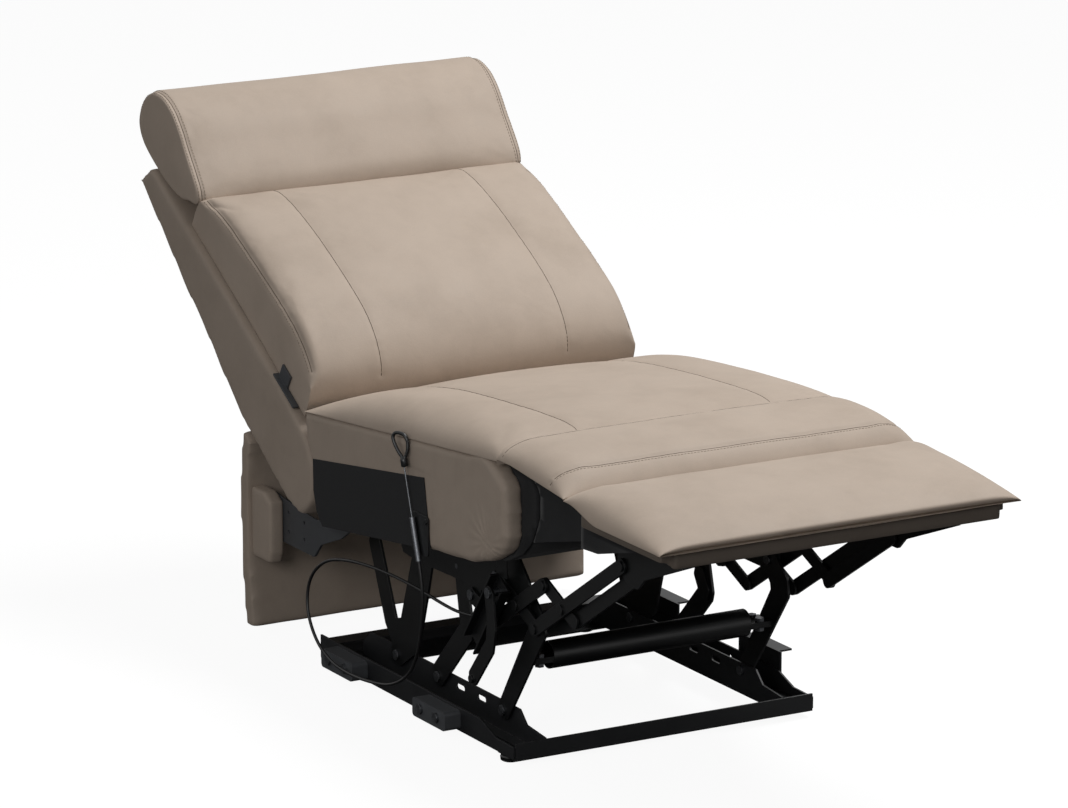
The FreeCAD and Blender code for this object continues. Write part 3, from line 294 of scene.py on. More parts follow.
# Poplar plywood, sawn: pale veneers with a brown glue line about every millimetre, and long grain.
plywoodLook = {"waveUnit": 0.0032, "dark": "#9a7850", "pale": "#c7a474", "glue": 0.72,
               "grain": (6.0, 90.0, 90.0), "fuzzDepth": 0.0005}


def poplarPlywood(name):
    material, tree, place = newMaterial(name)
    look = plywoodLook
    layers = addNode(tree, "ShaderNodeTexWave", {"bands_direction": "Z", "Scale": 1 / look["waveUnit"],
                                                 "Distortion": 0.4, "Detail": 1.0}, {"Vector": place})
    grainPlace = addNode(tree, "ShaderNodeMapping", {"Scale": look["grain"]}, {"Vector": place})
    grain = noiseOf(tree, grainPlace.outputs["Vector"], 1 / 3, 6.0, Distortion=0.8)
    wood = rampOf(tree, grain, (0.25, toLinear(look["dark"])), (0.75, toLinear(look["pale"])))
    glue = rampOf(tree, layers.outputs["Fac"], (0.0, grey(look["glue"])), (0.35, grey(1.0)))
    finishMaterial(tree, {"Roughness": 0.72},
                   {"Base Color": multiplied(tree, wood, glue),
                    "Normal": reliefOf(tree, grain, 0.25, look["fuzzDepth"])})
    return material


# Nubuck lying flat; the same nubuck darkened a little as painted shade for the boards, and darkened far more
# as painted shade under the footrest. Grit is in metres.
nubuck = brushedNubuck("taupeBrushedNubuck")
nubuckPaintedShade = brushedNubuck("taupeBrushedNubuckBody", paintedShade=0.12)
nubuckDeepPaintedShade = brushedNubuck("taupeNubuckUndersidePaintedShade", paintedShade=0.72)
seamThread = mouldedPlastic("bondedPolyesterThread", "#7d6e60", roughness=0.55, grit=0.0006)
# The seam line's colour is painted shade: the shadow of a groove too narrow for the mesh.
seamShadow = mouldedPlastic("sewnJoint", "#54483d", roughness=0.85, grit=0.0008)
finishes = {
    "upholstery": nubuckPaintedShade,
    "black_cloth": spunbondCloth("blackSpunbondCloth"),
    "rail_steel": paintedSteel("blackPowderCoatedSteel", "#18191b", "#3c3d3f",
                               roughness=0.42, peel=0.0022, worn=0.5),
    "linkage_steel": paintedSteel("blackElectrocoatedSteel", "#101112", "#4a4b4d",
                                  roughness=0.34, peel=0.0030, worn=0.6),
    "grey_steel": paintedSteel("greyPaintedSteel", "#45474a", "#75777a",
                               roughness=0.42, peel=0.0022, worn=0.6),
    "zinc_steel": zincPlate("zincPlatedSteel"),
    "black_plastic": mouldedPlastic("blackMouldedNylon", "#141516", roughness=0.30, grit=0.0014),
    "grey_plastic": mouldedPlastic("greyMouldedPolypropylene", "#4b4d50", roughness=0.50, grit=0.0016),
    "cable_vinyl": mouldedPlastic("blackExtrudedVinyl", "#111112", roughness=0.42, grit=0.0020),
    "frame_timber": poplarPlywood("poplarPlywood"),
}


def slotOf(material):
    return material.name.split(".")[0]


for node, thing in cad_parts.items():
    for holder in thing.material_slots:
        wanted = slotOf(holder.material)
        if wanted not in finishes:
            print("no finish for", node, wanted)
            continue
        holder.material = finishes[wanted]
print("materials on the steel, timber and plastic")


# Pull cable, a vinyl sheath from the guide down round the base to the latch
cableLine = {
    "points": [(-307.5, 162.4, 272.9), (-307.5, 149, 232), (-307, 155, 178), (-305, 172, 125),
               (-303, 205, 83), (-305, 258, 55), (-308, 318, 46), (-310, 380, 42), (-310, 440, 46),
               (-307, 495, 66), (-302, 534, 106), (-298, 532, 156), (-293, 490, 193), (-287, 432, 207),
               (-279, 370, 211), (-268, 308, 208), (-257, 250, 200), (-247, 195, 189),
               (-242, 155, 186), (-239, 119, 190)],
    "diameter": 0.005,
    "length": 1.04,
}


def layCable():
    line = bpy.data.curves.new("pullCableSheath", "CURVE")
    line.dimensions = "3D"
    spline = line.splines.new("NURBS")
    route = [fromDrawing(*point) for point in cableLine["points"]]
    spline.points.add(len(route) - 1)
    for point, spot in zip(spline.points, route):
        point.co = (*spot, 1.0)
    spline.order_u = 3
    spline.use_endpoint_u = True
    spline.resolution_u = 8
    line.bevel_depth = cableLine["diameter"] / 2
    line.bevel_resolution = 4
    line.use_fill_caps = True
    sheath = bpy.data.objects.new("pullCableSheath", line)
    scene.collection.objects.link(sheath)
    line.materials.append(finishes["cable_vinyl"])
    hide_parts("cable_sheath")
    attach(sheath, "seat_frame")


layCable()
print("cable laid")


# Pull ring, a rounded triangle of moulded nylon, twisted on its wire to face forwards. Its corners are
# given in its own plane, its collar as places along the wire with their radius.
ringLook = {"middle": (-309.5, 209.5, 438.0), "up": (0, 0.309, 0.951), "turn": -30,
            "thick": 2.7, "step": 0.0012,
            "corners": [(-11.5, 9), (-8, 17), (0, 20), (9, 18.5), (13.5, 11), (10, -3), (4, -14), (0, -17.5),
                        (-5, -13), (-9.5, -3), (-11.5, 9)],
            "foot": -16.5, "collar": [(1, 3.5), (0, 5.2), (-4, 5.6), (-13, 5.6), (-14, 4.5)]}


def pullRing():
    middle = fromDrawing(*ringLook["middle"])
    up = Vector(ringLook["up"])
    turn = math.radians(ringLook["turn"])
    aside = Vector((math.sin(turn), math.cos(turn), 0))
    face = Vector((math.cos(turn), -math.sin(turn), 0))
    run = smoothRun(ringLook["corners"], ringLook["step"])
    centres = [middle + aside * spot.x / 1000 + up * spot.y / 1000 for spot in run]
    spots = []
    faces = []
    tubeParts(spots, faces, centres, ringLook["thick"] / 1000, [face] * len(centres), 12)
    foot = middle + up * ringLook["foot"] / 1000
    collar = [foot + up * along / 1000 for along, _ in ringLook["collar"]]
    sizes = [size / 1000 for _, size in ringLook["collar"]]
    tubeParts(spots, faces, collar, sizes, [Vector((1, 0, 0))] * len(collar), 16)
    piece = newPiece("pullRingMoulding", spots, faces, finishes["black_plastic"])
    shade(piece)
    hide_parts("pull_ring")
    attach(piece, "release")


# Nylon glides, driven in under both ends of every rail. The profile gives heights and radii.
glideLook = {"outer": 243, "inner": 190, "front": 2, "rear": 532,
             "profile": [(0.0, 12.5), (1.5, 14.9), (7.0, 15.5), (9.4, 14.0), (9.9, 10.5)]}


def floorGlides():
    spots = []
    faces = []
    profile = glideLook["profile"]
    sizes = [size / 1000 for _, size in profile]
    for side in (-1, 1):
        for across in (glideLook["outer"], glideLook["inner"]):
            for y in (glideLook["front"], glideLook["rear"]):
                centres = [fromDrawing(side * across, y, z) for z, _ in profile]
                tubeParts(spots, faces, centres, sizes, [Vector((1, 0, 0))] * len(profile), 28)
    piece = newPiece("nylonGlides", spots, faces, finishes["black_plastic"])
    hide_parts("floor_glides")
    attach(piece, "base_frame")


# Mesh work shared by the upholstery
def newPiece(name, spots, faces, material=None):
    mesh = bpy.data.meshes.new(name)
    mesh.from_pydata(spots, [], faces)
    if material:
        mesh.materials.append(material)
    piece = bpy.data.objects.new(name, mesh)
    scene.collection.objects.link(piece)
    return piece


# Welds points closer than this many metres and turns every face outwards.
def closeUp(piece, near):
    work = bmesh.new()
    work.from_mesh(piece.data)
    bmesh.ops.remove_doubles(work, verts=work.verts, dist=near)
    bmesh.ops.dissolve_degenerate(work, dist=0.00005, edges=work.edges)
    bmesh.ops.recalc_face_normals(work, faces=work.faces)
    work.to_mesh(piece.data)
    work.free()


def applyModifiers(piece):
    graph = bpy.context.evaluated_depsgraph_get()
    mesh = bpy.data.meshes.new_from_object(piece.evaluated_get(graph))
    old = piece.data
    piece.modifiers.clear()
    piece.data = mesh
    bpy.data.meshes.remove(old)


# A fine, even skin over CAD nodes. Sharp edges come out as rounded as padding makes them.
def skinOver(name, nodes, voxel, relax):
    spots = []
    faces = []
    for node in nodes:
        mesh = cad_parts[node].data
        first = len(spots)
        spots.extend(vertex.co.copy() for vertex in mesh.vertices)
        faces.extend([first + i for i in face.vertices] for face in mesh.polygons)
    piece = newPiece(name, spots, faces)
    weld = piece.modifiers.new("weld", "WELD")
    weld.merge_threshold = 0.00002
    skin = piece.modifiers.new("skin", "REMESH")
    skin.mode = "VOXEL"
    skin.voxel_size = voxel
    smooth = piece.modifiers.new("relax", "SMOOTH")
    smooth.factor = 0.5
    smooth.iterations = relax
    applyModifiers(piece)
    return piece


# Read before any point moves, since each move would have all of them worked out again.
def normalsOf(mesh):
    return [vertex.normal.copy() for vertex in mesh.vertices]


# Air pressure inside the cover, held where the cover is sewn or lies on the frame. No point moves
# further than the given reach.
airLook = {"frames": 20, "quality": 5, "mass": 0.3, "stretch": 12, "bend": 0.4, "pressure": 4.0}


def puffUp(piece, held, most):
    mesh = piece.data
    group = piece.vertex_groups.new(name="held")
    for number, (vertex, normal) in enumerate(zip(mesh.vertices, normalsOf(mesh))):
        grip = held(vertex.co, normal)
        if grip > 0:
            group.add([number], grip, "REPLACE")
    before = [vertex.co.copy() for vertex in mesh.vertices]
    cloth = piece.modifiers.new("cloth", "CLOTH")
    cloth.settings.quality = airLook["quality"]
    cloth.settings.mass = airLook["mass"]
    cloth.settings.tension_stiffness = airLook["stretch"]
    cloth.settings.compression_stiffness = airLook["stretch"]
    cloth.settings.bending_stiffness = airLook["bend"]
    cloth.settings.use_pressure = True
    cloth.settings.uniform_pressure_force = airLook["pressure"]
    cloth.settings.vertex_group_mass = "held"
    cloth.settings.effector_weights.gravity = 0
    cloth.collision_settings.use_collision = False
    for number in range(1, airLook["frames"] + 1):
        scene.frame_set(number)
    graph = bpy.context.evaluated_depsgraph_get()
    settled = piece.evaluated_get(graph).data
    after = [vertex.co.copy() for vertex in settled.vertices]
    piece.modifiers.clear()
    scene.frame_set(1)
    for vertex, old, new in zip(mesh.vertices, before, after):
        move = new - old
        reach = move.length
        if reach > 1e-6:
            move *= most * math.tanh(reach / most) / reach
        vertex.co = old + move
    mesh.update()


def subdivide(piece):
    finer = piece.modifiers.new("finer", "SUBSURF")
    finer.levels = 1
    finer.render_levels = 1
    applyModifiers(piece)


# Slow waves in the padding, given as (metres across, metres high).
def unevenPadding(piece, waves, where=None):
    mesh = piece.data
    for vertex, normal in zip(mesh.vertices, normalsOf(mesh)):
        rise = sum(high * noise.noise(vertex.co / across + Vector((3.1, 7.7, 1.9)) * number)
                   for number, (across, high) in enumerate(waves))
        share = where(vertex.co) if where else 1.0
        vertex.co += normal * rise * share
    mesh.update()


# Points every few millimetres along a line of (spot, aim) pairs.
def alongLine(pairs, step=0.004):
    fine = []
    for (spot, aim), (nextSpot, nextAim) in zip(pairs, pairs[1:]):
        count = max(1, int((nextSpot - spot).length / step))
        for number in range(count):
            share = number / count
            fine.append((spot.lerp(nextSpot, share), aim.lerp(nextAim, share).normalized()))
    fine.append(pairs[-1])
    return fine


def treeOf(piece):
    return BVHTree.FromPolygons([v.co for v in piece.data.vertices],
                                [tuple(p.vertices) for p in piece.data.polygons])


def ontoSurface(piece, pairs, reach=0.25):
    tree = treeOf(piece)
    found = []
    for spot, aim in pairs:
        hit, normal, _, _ = tree.ray_cast(spot, aim, reach)
        if hit is not None:
            found.append((hit, normal if normal.dot(aim) < 0 else -normal))
    return found


# The cover dips along a seam and gathers a little on both sides of it.
def pressSeams(piece, rows, deep, wide, gather=0.0005):
    marks = [mark for row in rows for mark in row]
    tree = KDTree(len(marks))
    for number, (spot, _) in enumerate(marks):
        tree.insert(spot, number)
    tree.balance()
    for vertex in piece.data.vertices:
        _, number, away = tree.find(vertex.co)
        if away > 6 * wide:
            continue
        normal = marks[number][1]
        dip = deep * math.exp(-(away / wide) ** 2)
        pleat = gather * noise.noise(vertex.co / 0.011) * math.exp(-(away / (2.6 * wide)) ** 2)
        vertex.co += normal * (pleat - dip)
    piece.data.update()


def tubeParts(spots, faces, centres, radius, normals, sides=6):
    first = len(spots)
    for number, centre in enumerate(centres):
        ahead = (centres[min(number + 1, len(centres) - 1)] - centres[max(number - 1, 0)]).normalized()
        up = normals[number]
        across = ahead.cross(up).normalized()
        up = across.cross(ahead)
        size = radius[number] if isinstance(radius, list) else radius
        for side in range(sides):
            turn = 2 * math.pi * side / sides
            spots.append(centre + (across * math.cos(turn) + up * math.sin(turn)) * size)
    for number in range(len(centres) - 1):
        for side in range(sides):
            a = first + number * sides + side
            b = first + number * sides + (side + 1) % sides
            faces.append((a, b, b + sides, a + sides))
    faces.append(tuple(first + side for side in reversed(range(sides))))
    last = first + (len(centres) - 1) * sides
    faces.append(tuple(last + side for side in range(sides)))


threadLook = {"radius": 0.00045, "stitch": 0.0040, "pitch": 0.0055, "joint": 0.0007,
              "above": 0.006, "reach": 0.02, "gap": 0.03}


# The sewn joint as a fine dark line of painted shade, standing for the shadow in the seam's groove, with rows
# of stitches beside it.
def sewRows(name, piece, rows, offsets):
    spots = []
    faces = []
    shadeSpots = []
    shadeFaces = []
    tree = treeOf(piece)
    for row in rows:
        if len(row) < 4:
            continue
        centres = [spot - normal * threadLook["joint"] * 0.35 for spot, normal in row]
        tubeParts(shadeSpots, shadeFaces, centres, threadLook["joint"], [normal for _, normal in row])
        for offset in offsets:
            line = []
            for number, (spot, normal) in enumerate(row):
                ahead = row[min(number + 1, len(row) - 1)][0] - row[max(number - 1, 0)][0]
                aside = ahead.cross(normal).normalized()
                above = spot + aside * offset + normal * threadLook["above"]
                hit, up, _, _ = tree.ray_cast(above, -normal, threadLook["reach"])
                if hit is not None:
                    line.append((hit, up if up.dot(normal) > 0 else -up))
            stitchLine(spots, faces, line)
    sewn = [newPiece(name + "Joint", shadeSpots, shadeFaces, seamShadow)] if shadeFaces else []
    if faces:
        sewn.append(newPiece(name + "Stitches", spots, faces, seamThread))
    return sewn


def stitchLine(spots, faces, line):
    walked = 0.0
    nextStart = 0.001
    radius = threadLook["radius"]
    for (spot, up), (nextSpot, _) in zip(line, line[1:]):
        run = (nextSpot - spot).length
        if run > threadLook["gap"] or run < 1e-6:
            walked += run
            continue
        way = (nextSpot - spot) / run
        while nextStart < walked + run:
            start = spot + way * (nextStart - walked)
            centres = [start + way * threadLook["stitch"] * share + up * radius * lift
                       for share, lift in ((0.0, -0.9), (0.2, 0.45), (0.8, 0.45), (1.0, -0.9))]
            tubeParts(spots, faces, centres, [radius * 0.6, radius, radius, radius * 0.6], [up] * 4, 5)
            nextStart += threadLook["pitch"]
        walked += run


def shade(piece):
    for face in piece.data.polygons:
        face.use_smooth = True


def dress(piece, material, body, nodes):
    piece.data.materials.clear()
    piece.data.materials.append(material)
    shade(piece)
    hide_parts(*nodes)
    if body:
        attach(piece, body)


def sewOn(name, piece, lines, body, deep=0.0016, wide=0.0045, offsets=(0.0055, -0.0055)):
    pairs = [alongLine(line) for line in lines]
    rows = [ontoSurface(piece, pair) for pair in pairs]
    pressSeams(piece, [row for row in rows if row], deep, wide)
    rows = [ontoSurface(piece, pair) for pair in pairs]
    sewn = sewRows(name, piece, rows, offsets)
    for part in sewn:
        if body:
            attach(part, body)
    return sewn


def eased(share):
    share = min(1.0, max(0.0, share))
    return share * share * (3 - 2 * share)


# A smooth run through a few points, with even steps.
def smoothRun(points, step=0.007):
    points = [Vector(point) for point in points]
    ends = [points[0] * 2 - points[1]] + points + [points[-1] * 2 - points[-2]]
    run = [points[0]]
    for a, b, c, d in zip(ends, ends[1:], ends[2:], ends[3:]):
        count = max(2, round((c - b).length / step / 1000))
        for number in range(1, count + 1):
            t = number / count
            run.append(0.5 * (2 * b + (c - a) * t + (2 * a - 5 * b + 4 * c - d) * t * t
                              + (3 * b - 3 * c + d - a) * t * t * t))
    return run


# Stations from the left rim to the right one: place across, height of the side wall, fullness.
def rowsAcross(half, wall, roll, steps=9, step=8.0):
    side = [(half, wall * number / 4, 0.0) for number in range(4)] if wall else []
    for number in range(steps):
        turn = math.pi / 2 * number / steps
        side.append((half - roll * (1 - math.cos(turn)), wall, math.sin(turn)))
    count = round((half - roll) / step)
    side.extend(((half - roll) * (1 - number / count), wall, 1.0) for number in range(count))
    return [(-x, a, f) for x, a, f in side] + [(0.0, wall, 1.0)] + [(x, a, f) for x, a, f in reversed(side)]


# A cushion cover: a top sheet and a bottom sheet sewn together round the rim. The top run is in
# millimetres along the side view, low gives the underside there, and place turns them into metres.
def coverOver(name, rows, topRun, low, place, crown=0.0):
    half = max(abs(x) for x, _, _ in rows)
    spots = []
    for x, wall, full in rows:
        full *= 1 - crown * (abs(x) / half) ** 2
        for along, high in topRun:
            base = low(along)
            edge = min(wall, high - base)
            spots.append(place(x, along, base + edge + full * (high - base - edge)))
    for x, wall, full in rows:
        spots.extend(place(x, along, low(along)) for along, high in topRun)
    long = len(topRun)
    wide = len(rows)
    faces = []
    for i in range(wide - 1):
        for j in range(long - 1):
            a = i * long + j
            faces.append((a, a + 1, a + long + 1, a + long))
            b = a + wide * long
            faces.append((b, b + long, b + long + 1, b + 1))
    piece = newPiece(name, spots, faces)
    closeUp(piece, 0.0004)
    return piece


# The side view of a cushion: up its front end, over its top and down its rear end.
def wholeRun(look):
    return smoothRun(look["start"])[:-1] + smoothRun(look["top"]) + smoothRun(look["end"])[1:]


down = Vector((0, 0, -1))
facesOut = 0.15   # a normal that leans out less than this belongs to a side or the underside
seamHalf = 0.005   # half the width of the strip that a seam holds down

# Top of the boards under the seat, which falls to the rear.
boardLook = {"front": -69.0, "high": 477.0, "fall": 60.0, "long": 612.0}


def boardTop(y):
    return boardLook["high"] - (y - boardLook["front"]) * boardLook["fall"] / boardLook["long"]


# Seat cushion: three panels sewn side by side over springs, the cover rolled over at the sides
seatLook = {
    "half": 300, "roll": 62, "seams": 165, "rear": 522, "front": -56, "held": -50, "cap": 0.005, "full": 0.75,
    "start": [(-58, 471), (-58, 485), (-57, 502)],
    "top": [(-57, 502), (-50, 507), (0, 509), (150, 502), (300, 488), (400, 470), (470, 449), (528, 428)],
    "end": [(528, 428), (538, 421), (541, boardTop(541))],
    "waves": [(0.19, 0.0016), (0.07, 0.0005)],
}


def seatCushion():
    rows = rowsAcross(seatLook["half"], 0, seatLook["roll"])

    def low(y):
        return boardTop(y) - 1
    piece = coverOver("seatCushionCover", rows, wholeRun(seatLook), low, fromDrawing, 0.10)
    seam = seatLook["seams"] / 1000

    def held(spot, normal):
        if normal.z < facesOut or spot.y < fromDrawing(0, seatLook["held"], 0).y:
            return 1.0
        return 0.85 if abs(abs(spot.x) - seam) < seamHalf else 0.0
    puffUp(piece, held, seatLook["cap"])
    subdivide(piece)
    unevenPadding(piece, seatLook["waves"], awayFromRim)
    lines = []
    for side in (-1, 1):
        x = side * seatLook["seams"]
        lines.append([(fromDrawing(x, y, 600), down)
                      for y in (seatLook["rear"], 300, 100, seatLook["front"])])
    sewOn("seatPanelSeams", piece, lines, "seat_frame", 0.0011, 0.0038, ())
    dress(piece, nubuck, "seat_frame", ["seat_cushion"])


# Less unevenness near the sides, where the cover is drawn tight.
def awayFromRim(spot):
    return min(1.0, max(0.0, (0.296 - abs(spot.x)) / 0.05))


# Knee pad, sewn to the seat in front and bent over the footrest's hinge line
kneeLook = {
    "half": 300, "roll": 58, "seam": -219, "sag": 12, "cross": -71, "held": (-216, -68), "cap": 0.004,
    "full": 0.65,
    "start": [(-59, 470), (-59, 488), (-60, 503), (-66, 508)],
    "top": [(-66, 508), (-110, 512), (-160, 512), (-205, 505), (-222, 498), (-236, 487), (-245, 476)],
    "end": [(-245, 476), (-249, 468), (-249, 463)],
    "waves": [(0.19, 0.0014), (0.07, 0.0005)],
    "seamSteps": (-297, -290, -270, -230, -120, 0, 120, 230, 270, 290, 297),
    "crossSteps": (-297, -270, -150, 0, 150, 270, 297),
}


# The knee pad's underside is level under the seat and falls towards the footrest.
def kneeLow(y):
    return 478.0 + min(0.0, (y + 100.0) * 14.0 / 148.0)


# Held where the side view ends, and wherever the cover turns down.
def heldAtEnds(ends):
    front, rear = (fromDrawing(0, y, 0).y for y in ends)

    def held(spot, normal):
        return 1.0 if normal.z < facesOut or spot.y > rear or spot.y < front else 0.0
    return held


def kneePad():
    rows = rowsAcross(kneeLook["half"], 0, kneeLook["roll"])
    piece = coverOver("kneePadCover", rows, wholeRun(kneeLook), kneeLow, fromDrawing, 0.10)
    puffUp(piece, heldAtEnds(kneeLook["held"]), kneeLook["cap"])
    subdivide(piece)
    unevenPadding(piece, kneeLook["waves"], awayFromRim)
    line = [(fromDrawing(x, kneeLook["seam"] + kneeLook["sag"] * (abs(x) / kneeLook["half"]) ** 8, 600), down)
            for x in kneeLook["seamSteps"]]
    cross = [(fromDrawing(x, kneeLook["cross"], 600), down) for x in kneeLook["crossSteps"]]
    sewn = sewOn("kneeEdgeSeam", piece, [line], None, 0.0024, 0.0045, (0.0052,))
    sewn += sewOn("kneeCrossSeam", piece, [cross], None, 0.0014, 0.0042, ())
    dress(piece, nubuck, None, ["knee_pad"])
    for part in [piece] + sewn:
        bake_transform(part)


# Footrest pad, a wedge with a crisp nose. Its rear end is pressed against the knee pad.
footLook = {
    "half": 300, "roll": 54, "held": (-505, -262), "cap": 0.004, "full": 0.7,
    "start": [(-505, 444), (-516, 449), (-516, 456)],
    "top": [(-516, 456), (-492, 466), (-440, 478), (-370, 488), (-312, 491), (-280, 488), (-262, 480),
            (-252, 472)],
    "end": [(-252, 472), (-249.5, 466), (-249.5, 461)],
    "waves": [(0.21, 0.0016), (0.07, 0.0005)],
}


# Its underside steps up over the footrest board.
def footLow(y):
    return 444.0 + 17.0 * eased((y + 345.0) / 85.0)


def footrestPad():
    rows = rowsAcross(footLook["half"], 0, footLook["roll"])
    piece = coverOver("footrestPadCover", rows, wholeRun(footLook), footLow, fromDrawing, 0.08)
    puffUp(piece, heldAtEnds(footLook["held"]), footLook["cap"])
    subdivide(piece)
    unevenPadding(piece, footLook["waves"], awayFromRim)
    dress(piece, nubuck, "footrest", ["footrest_pad"])


# Back cushion: boxed sides, the front drawn tight over foam and fullest at the small of the back.
# Its lines are given along the back and out of it.
backLook = {
    "half": 288, "wall": 52, "roll": 20, "base": 14.0, "seams": 165, "edge": 281, "low": 66, "high": 468,
    "cap": 0.007, "full": 0.8,
    "start": [(478, 14), (479, 38), (478, 56)],
    "top": [(478, 56), (474, 73), (456, 89), (412, 104), (345, 116), (260, 124), (185, 127), (128, 123),
            (86, 108), (59, 87), (46, 64)],
    "end": [(46, 64), (41, 44), (40, 14)],
    "waves": [(0.2, 0.0022), (0.08, 0.0007)],
}


def backCushion():
    rows = rowsAcross(backLook["half"], backLook["wall"], backLook["roll"])

    def low(u):
        return backLook["base"]
    piece = coverOver("backCushionCover", rows, wholeRun(backLook), low, fromBack, 0.13)
    seam = backLook["seams"] / 1000
    outward = backWay(0, 1)
    inward = -outward

    def held(spot, normal):
        if normal.dot(outward) < facesOut:
            return 1.0
        return 0.8 if abs(abs(spot.x) - seam) < seamHalf and normal.dot(outward) > 0.3 else 0.0
    puffUp(piece, held, backLook["cap"])
    subdivide(piece)
    unevenPadding(piece, backLook["waves"])
    fine = []
    strong = []
    for side in (-1, 1):
        x = side * backLook["seams"]
        fine.append([(fromBack(x, u, 200), inward)
                     for u in (backLook["low"] - 16, 150, 300, backLook["high"])])
        x = side * backLook["edge"]
        strong.append([(fromBack(x, u, 200), inward)
                       for u in (backLook["low"], 150, 300, backLook["high"])])
    sewOn("backPanelSeams", piece, fine, "back", 0.0011, 0.0038, ())
    sewOn("backEdgeSeams", piece, strong, "back", 0.0016, 0.0040, (-0.0048,))
    dress(piece, nubuck, "back", ["back_cushion"])


# Headrest, a full roll closed at each end by a D-shaped panel, which domes out a little. The cover
# turns round the panel's rim.
headLook = {
    "rim": 292, "round": 15, "dome": 3, "panel": 0.91, "ends": 284, "held": 0.276,
    "middle": (592, 74), "around": (190, 160), "cap": 0.005, "full": 0.75,
    "line": [(497, 46), (520, 30), (560, 19), (622, 13), (675, 17), (704, 34), (712, 62), (706, 90),
             (687, 114), (658, 128), (624, 131), (588, 123), (550, 107), (512, 92), (486, 80), (474, 66),
             (480, 53), (497, 46)],
    "waves": [(0.2, 0.0020), (0.08, 0.0006)],
}


def headrestRoll():
    look = headLook
    ring = smoothRun(look["line"])[:-1]
    middle = Vector(look["middle"])
    rows = [(look["rim"] + look["dome"] * (1 - share ** 2), share * look["panel"])
            for share in (0.0, 0.2, 0.4, 0.6, 0.8, 0.94)]
    for number in range(7):
        turn = math.pi / 2 * number / 6
        rows.append((look["rim"] - look["round"] * (1 - math.cos(turn)),
                     look["panel"] + (1 - look["panel"]) * math.sin(turn)))
    inner = look["rim"] - look["round"]
    count = round(inner / 8)
    rows.extend((inner * (1 - number / count), 1.0) for number in range(1, count))
    rows = [(-x, share) for x, share in rows] + [(0.0, 1.0)] + [(x, share) for x, share in reversed(rows)]
    spots = []
    for x, share in rows:
        spots.extend(fromBack(x, *(middle + (spot - middle) * max(share, 0.001))) for spot in ring)
    long = len(ring)
    faces = []
    for i in range(len(rows) - 1):
        for j in range(long):
            after = (j + 1) % long
            faces.append((i * long + j, i * long + after, (i + 1) * long + after, (i + 1) * long + j))
    piece = newPiece("headrestCover", spots, faces)
    closeUp(piece, 0.0006)
    outward = backWay(0, 1)

    def held(spot, normal):
        return 1.0 if normal.dot(outward) < -0.3 or abs(spot.x) > look["held"] else 0.0
    puffUp(piece, held, look["cap"])
    subdivide(piece)
    unevenPadding(piece, look["waves"])
    lines = []
    wide, high = look["around"]
    for side in (-1, 1):
        around = []
        end = side * look["ends"]
        centre = fromBack(end, *middle)
        for step in range(49):
            turn = 2 * math.pi * step / 48
            spot = fromBack(end, middle.x + wide * math.cos(turn), middle.y + high * math.sin(turn))
            around.append((spot, (centre - spot).normalized()))
        lines.append(around)
    sewOn("headrestEndSeams", piece, lines, "back", 0.0016, 0.0040, (0.0050, -0.0050))
    dress(piece, nubuck, "back", ["headrest"])


# Upholstered boards: thin foam under the cover, edges rounded by it. Each is given by its nodes, the
# cell of its skin in metres, how often that is relaxed, and its firmness.
sideWaves = [(0.12, 0.0014), (0.04, 0.0004)]
boardLooks = {
    "seatSideCoverRight": {"nodes": ["seat_side_right"], "cell": 0.006, "relax": 3, "finer": True,
                           "waves": sideWaves, "firm": 0.9},
    "seatSideCoverLeft": {"nodes": ["seat_side_left"], "cell": 0.006, "relax": 3, "finer": True,
                          "waves": sideWaves, "firm": 0.9},
    "frontRollCover": {"nodes": ["front_roll"], "cell": 0.007, "relax": 3, "firm": 0.9,
                       "material": finishes["black_cloth"]},
    "backSlabCover": {"nodes": ["back_frame"], "cell": 0.006, "relax": 12, "body": "back",
                      "waves": [(0.14, 0.0014), (0.05, 0.0004)], "firm": 0.95},
    "rearPanelCover": {"nodes": ["rear_panel"], "cell": 0.006, "relax": 2, "finer": True,
                       "waves": [(0.16, 0.0012), (0.05, 0.0004)], "firm": 0.95},
    "panelBlockCovers": {"nodes": ["panel_blocks"], "cell": 0.004, "relax": 2, "firm": 0.95},
    # The footrest board's cover is the taupe nubuck darkened by painted shade, for the shadow under the pad's
    # nose.
    "footrestBoardCover": {"nodes": ["footrest_board", "footrest_strip"], "cell": 0.004, "relax": 2,
                           "body": "footrest", "material": nubuckDeepPaintedShade, "firm": 0.95},
}


def paddedBoards():
    for name, look in boardLooks.items():
        board = skinOver(name, look["nodes"], look["cell"], look["relax"])
        if "finer" in look:
            subdivide(board)
        if "waves" in look:
            unevenPadding(board, look["waves"])
        if name.startswith("seatSide"):
            drawBackFront(board)
            puckerFront(board)
            lieUnderCover(board)
        # Boards take the nubuck darkened as painted shade, unless their look names another material.
        dress(board, look.get("material", nubuckPaintedShade), look.get("body", "seat_frame"), look["nodes"])


# The front of the side board stands behind the front rail, most of all near its top. There its cover
# gathers in short folds. Places are in millimetres, the other values in metres.
sideLook = {"behind": 0.052, "from": 40, "over": 110, "low": 325, "high": 100,
            "folds": 17, "foldDeep": 0.0008, "foldSpot": (0, -30, 345), "foldArea": 0.0022,
            "margin": 0.008, "under": 0.0015}


def drawBackFront(board):
    first = fromDrawing(0, sideLook["from"], sideLook["low"])
    for vertex in board.data.vertices:
        forward = eased((first.y - vertex.co.y) * 1000 / sideLook["over"])
        upper = 0.3 + 0.7 * eased((vertex.co.z - first.z) * 1000 / sideLook["high"])
        vertex.co.y += sideLook["behind"] * forward * upper
    board.data.update()


# Behind the black side cover the upholstery stays flat.
def lieUnderCover(board):
    low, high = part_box("side_cover_right")
    margin = sideLook["margin"]
    flat = low.x + sideLook["under"]
    for vertex in board.data.vertices:
        spot = vertex.co
        beside = low.y - margin < spot.y < high.y + margin and spot.z < high.z + margin
        if beside and abs(spot.x) > -flat:
            spot.x = math.copysign(flat, spot.x)
    board.data.update()


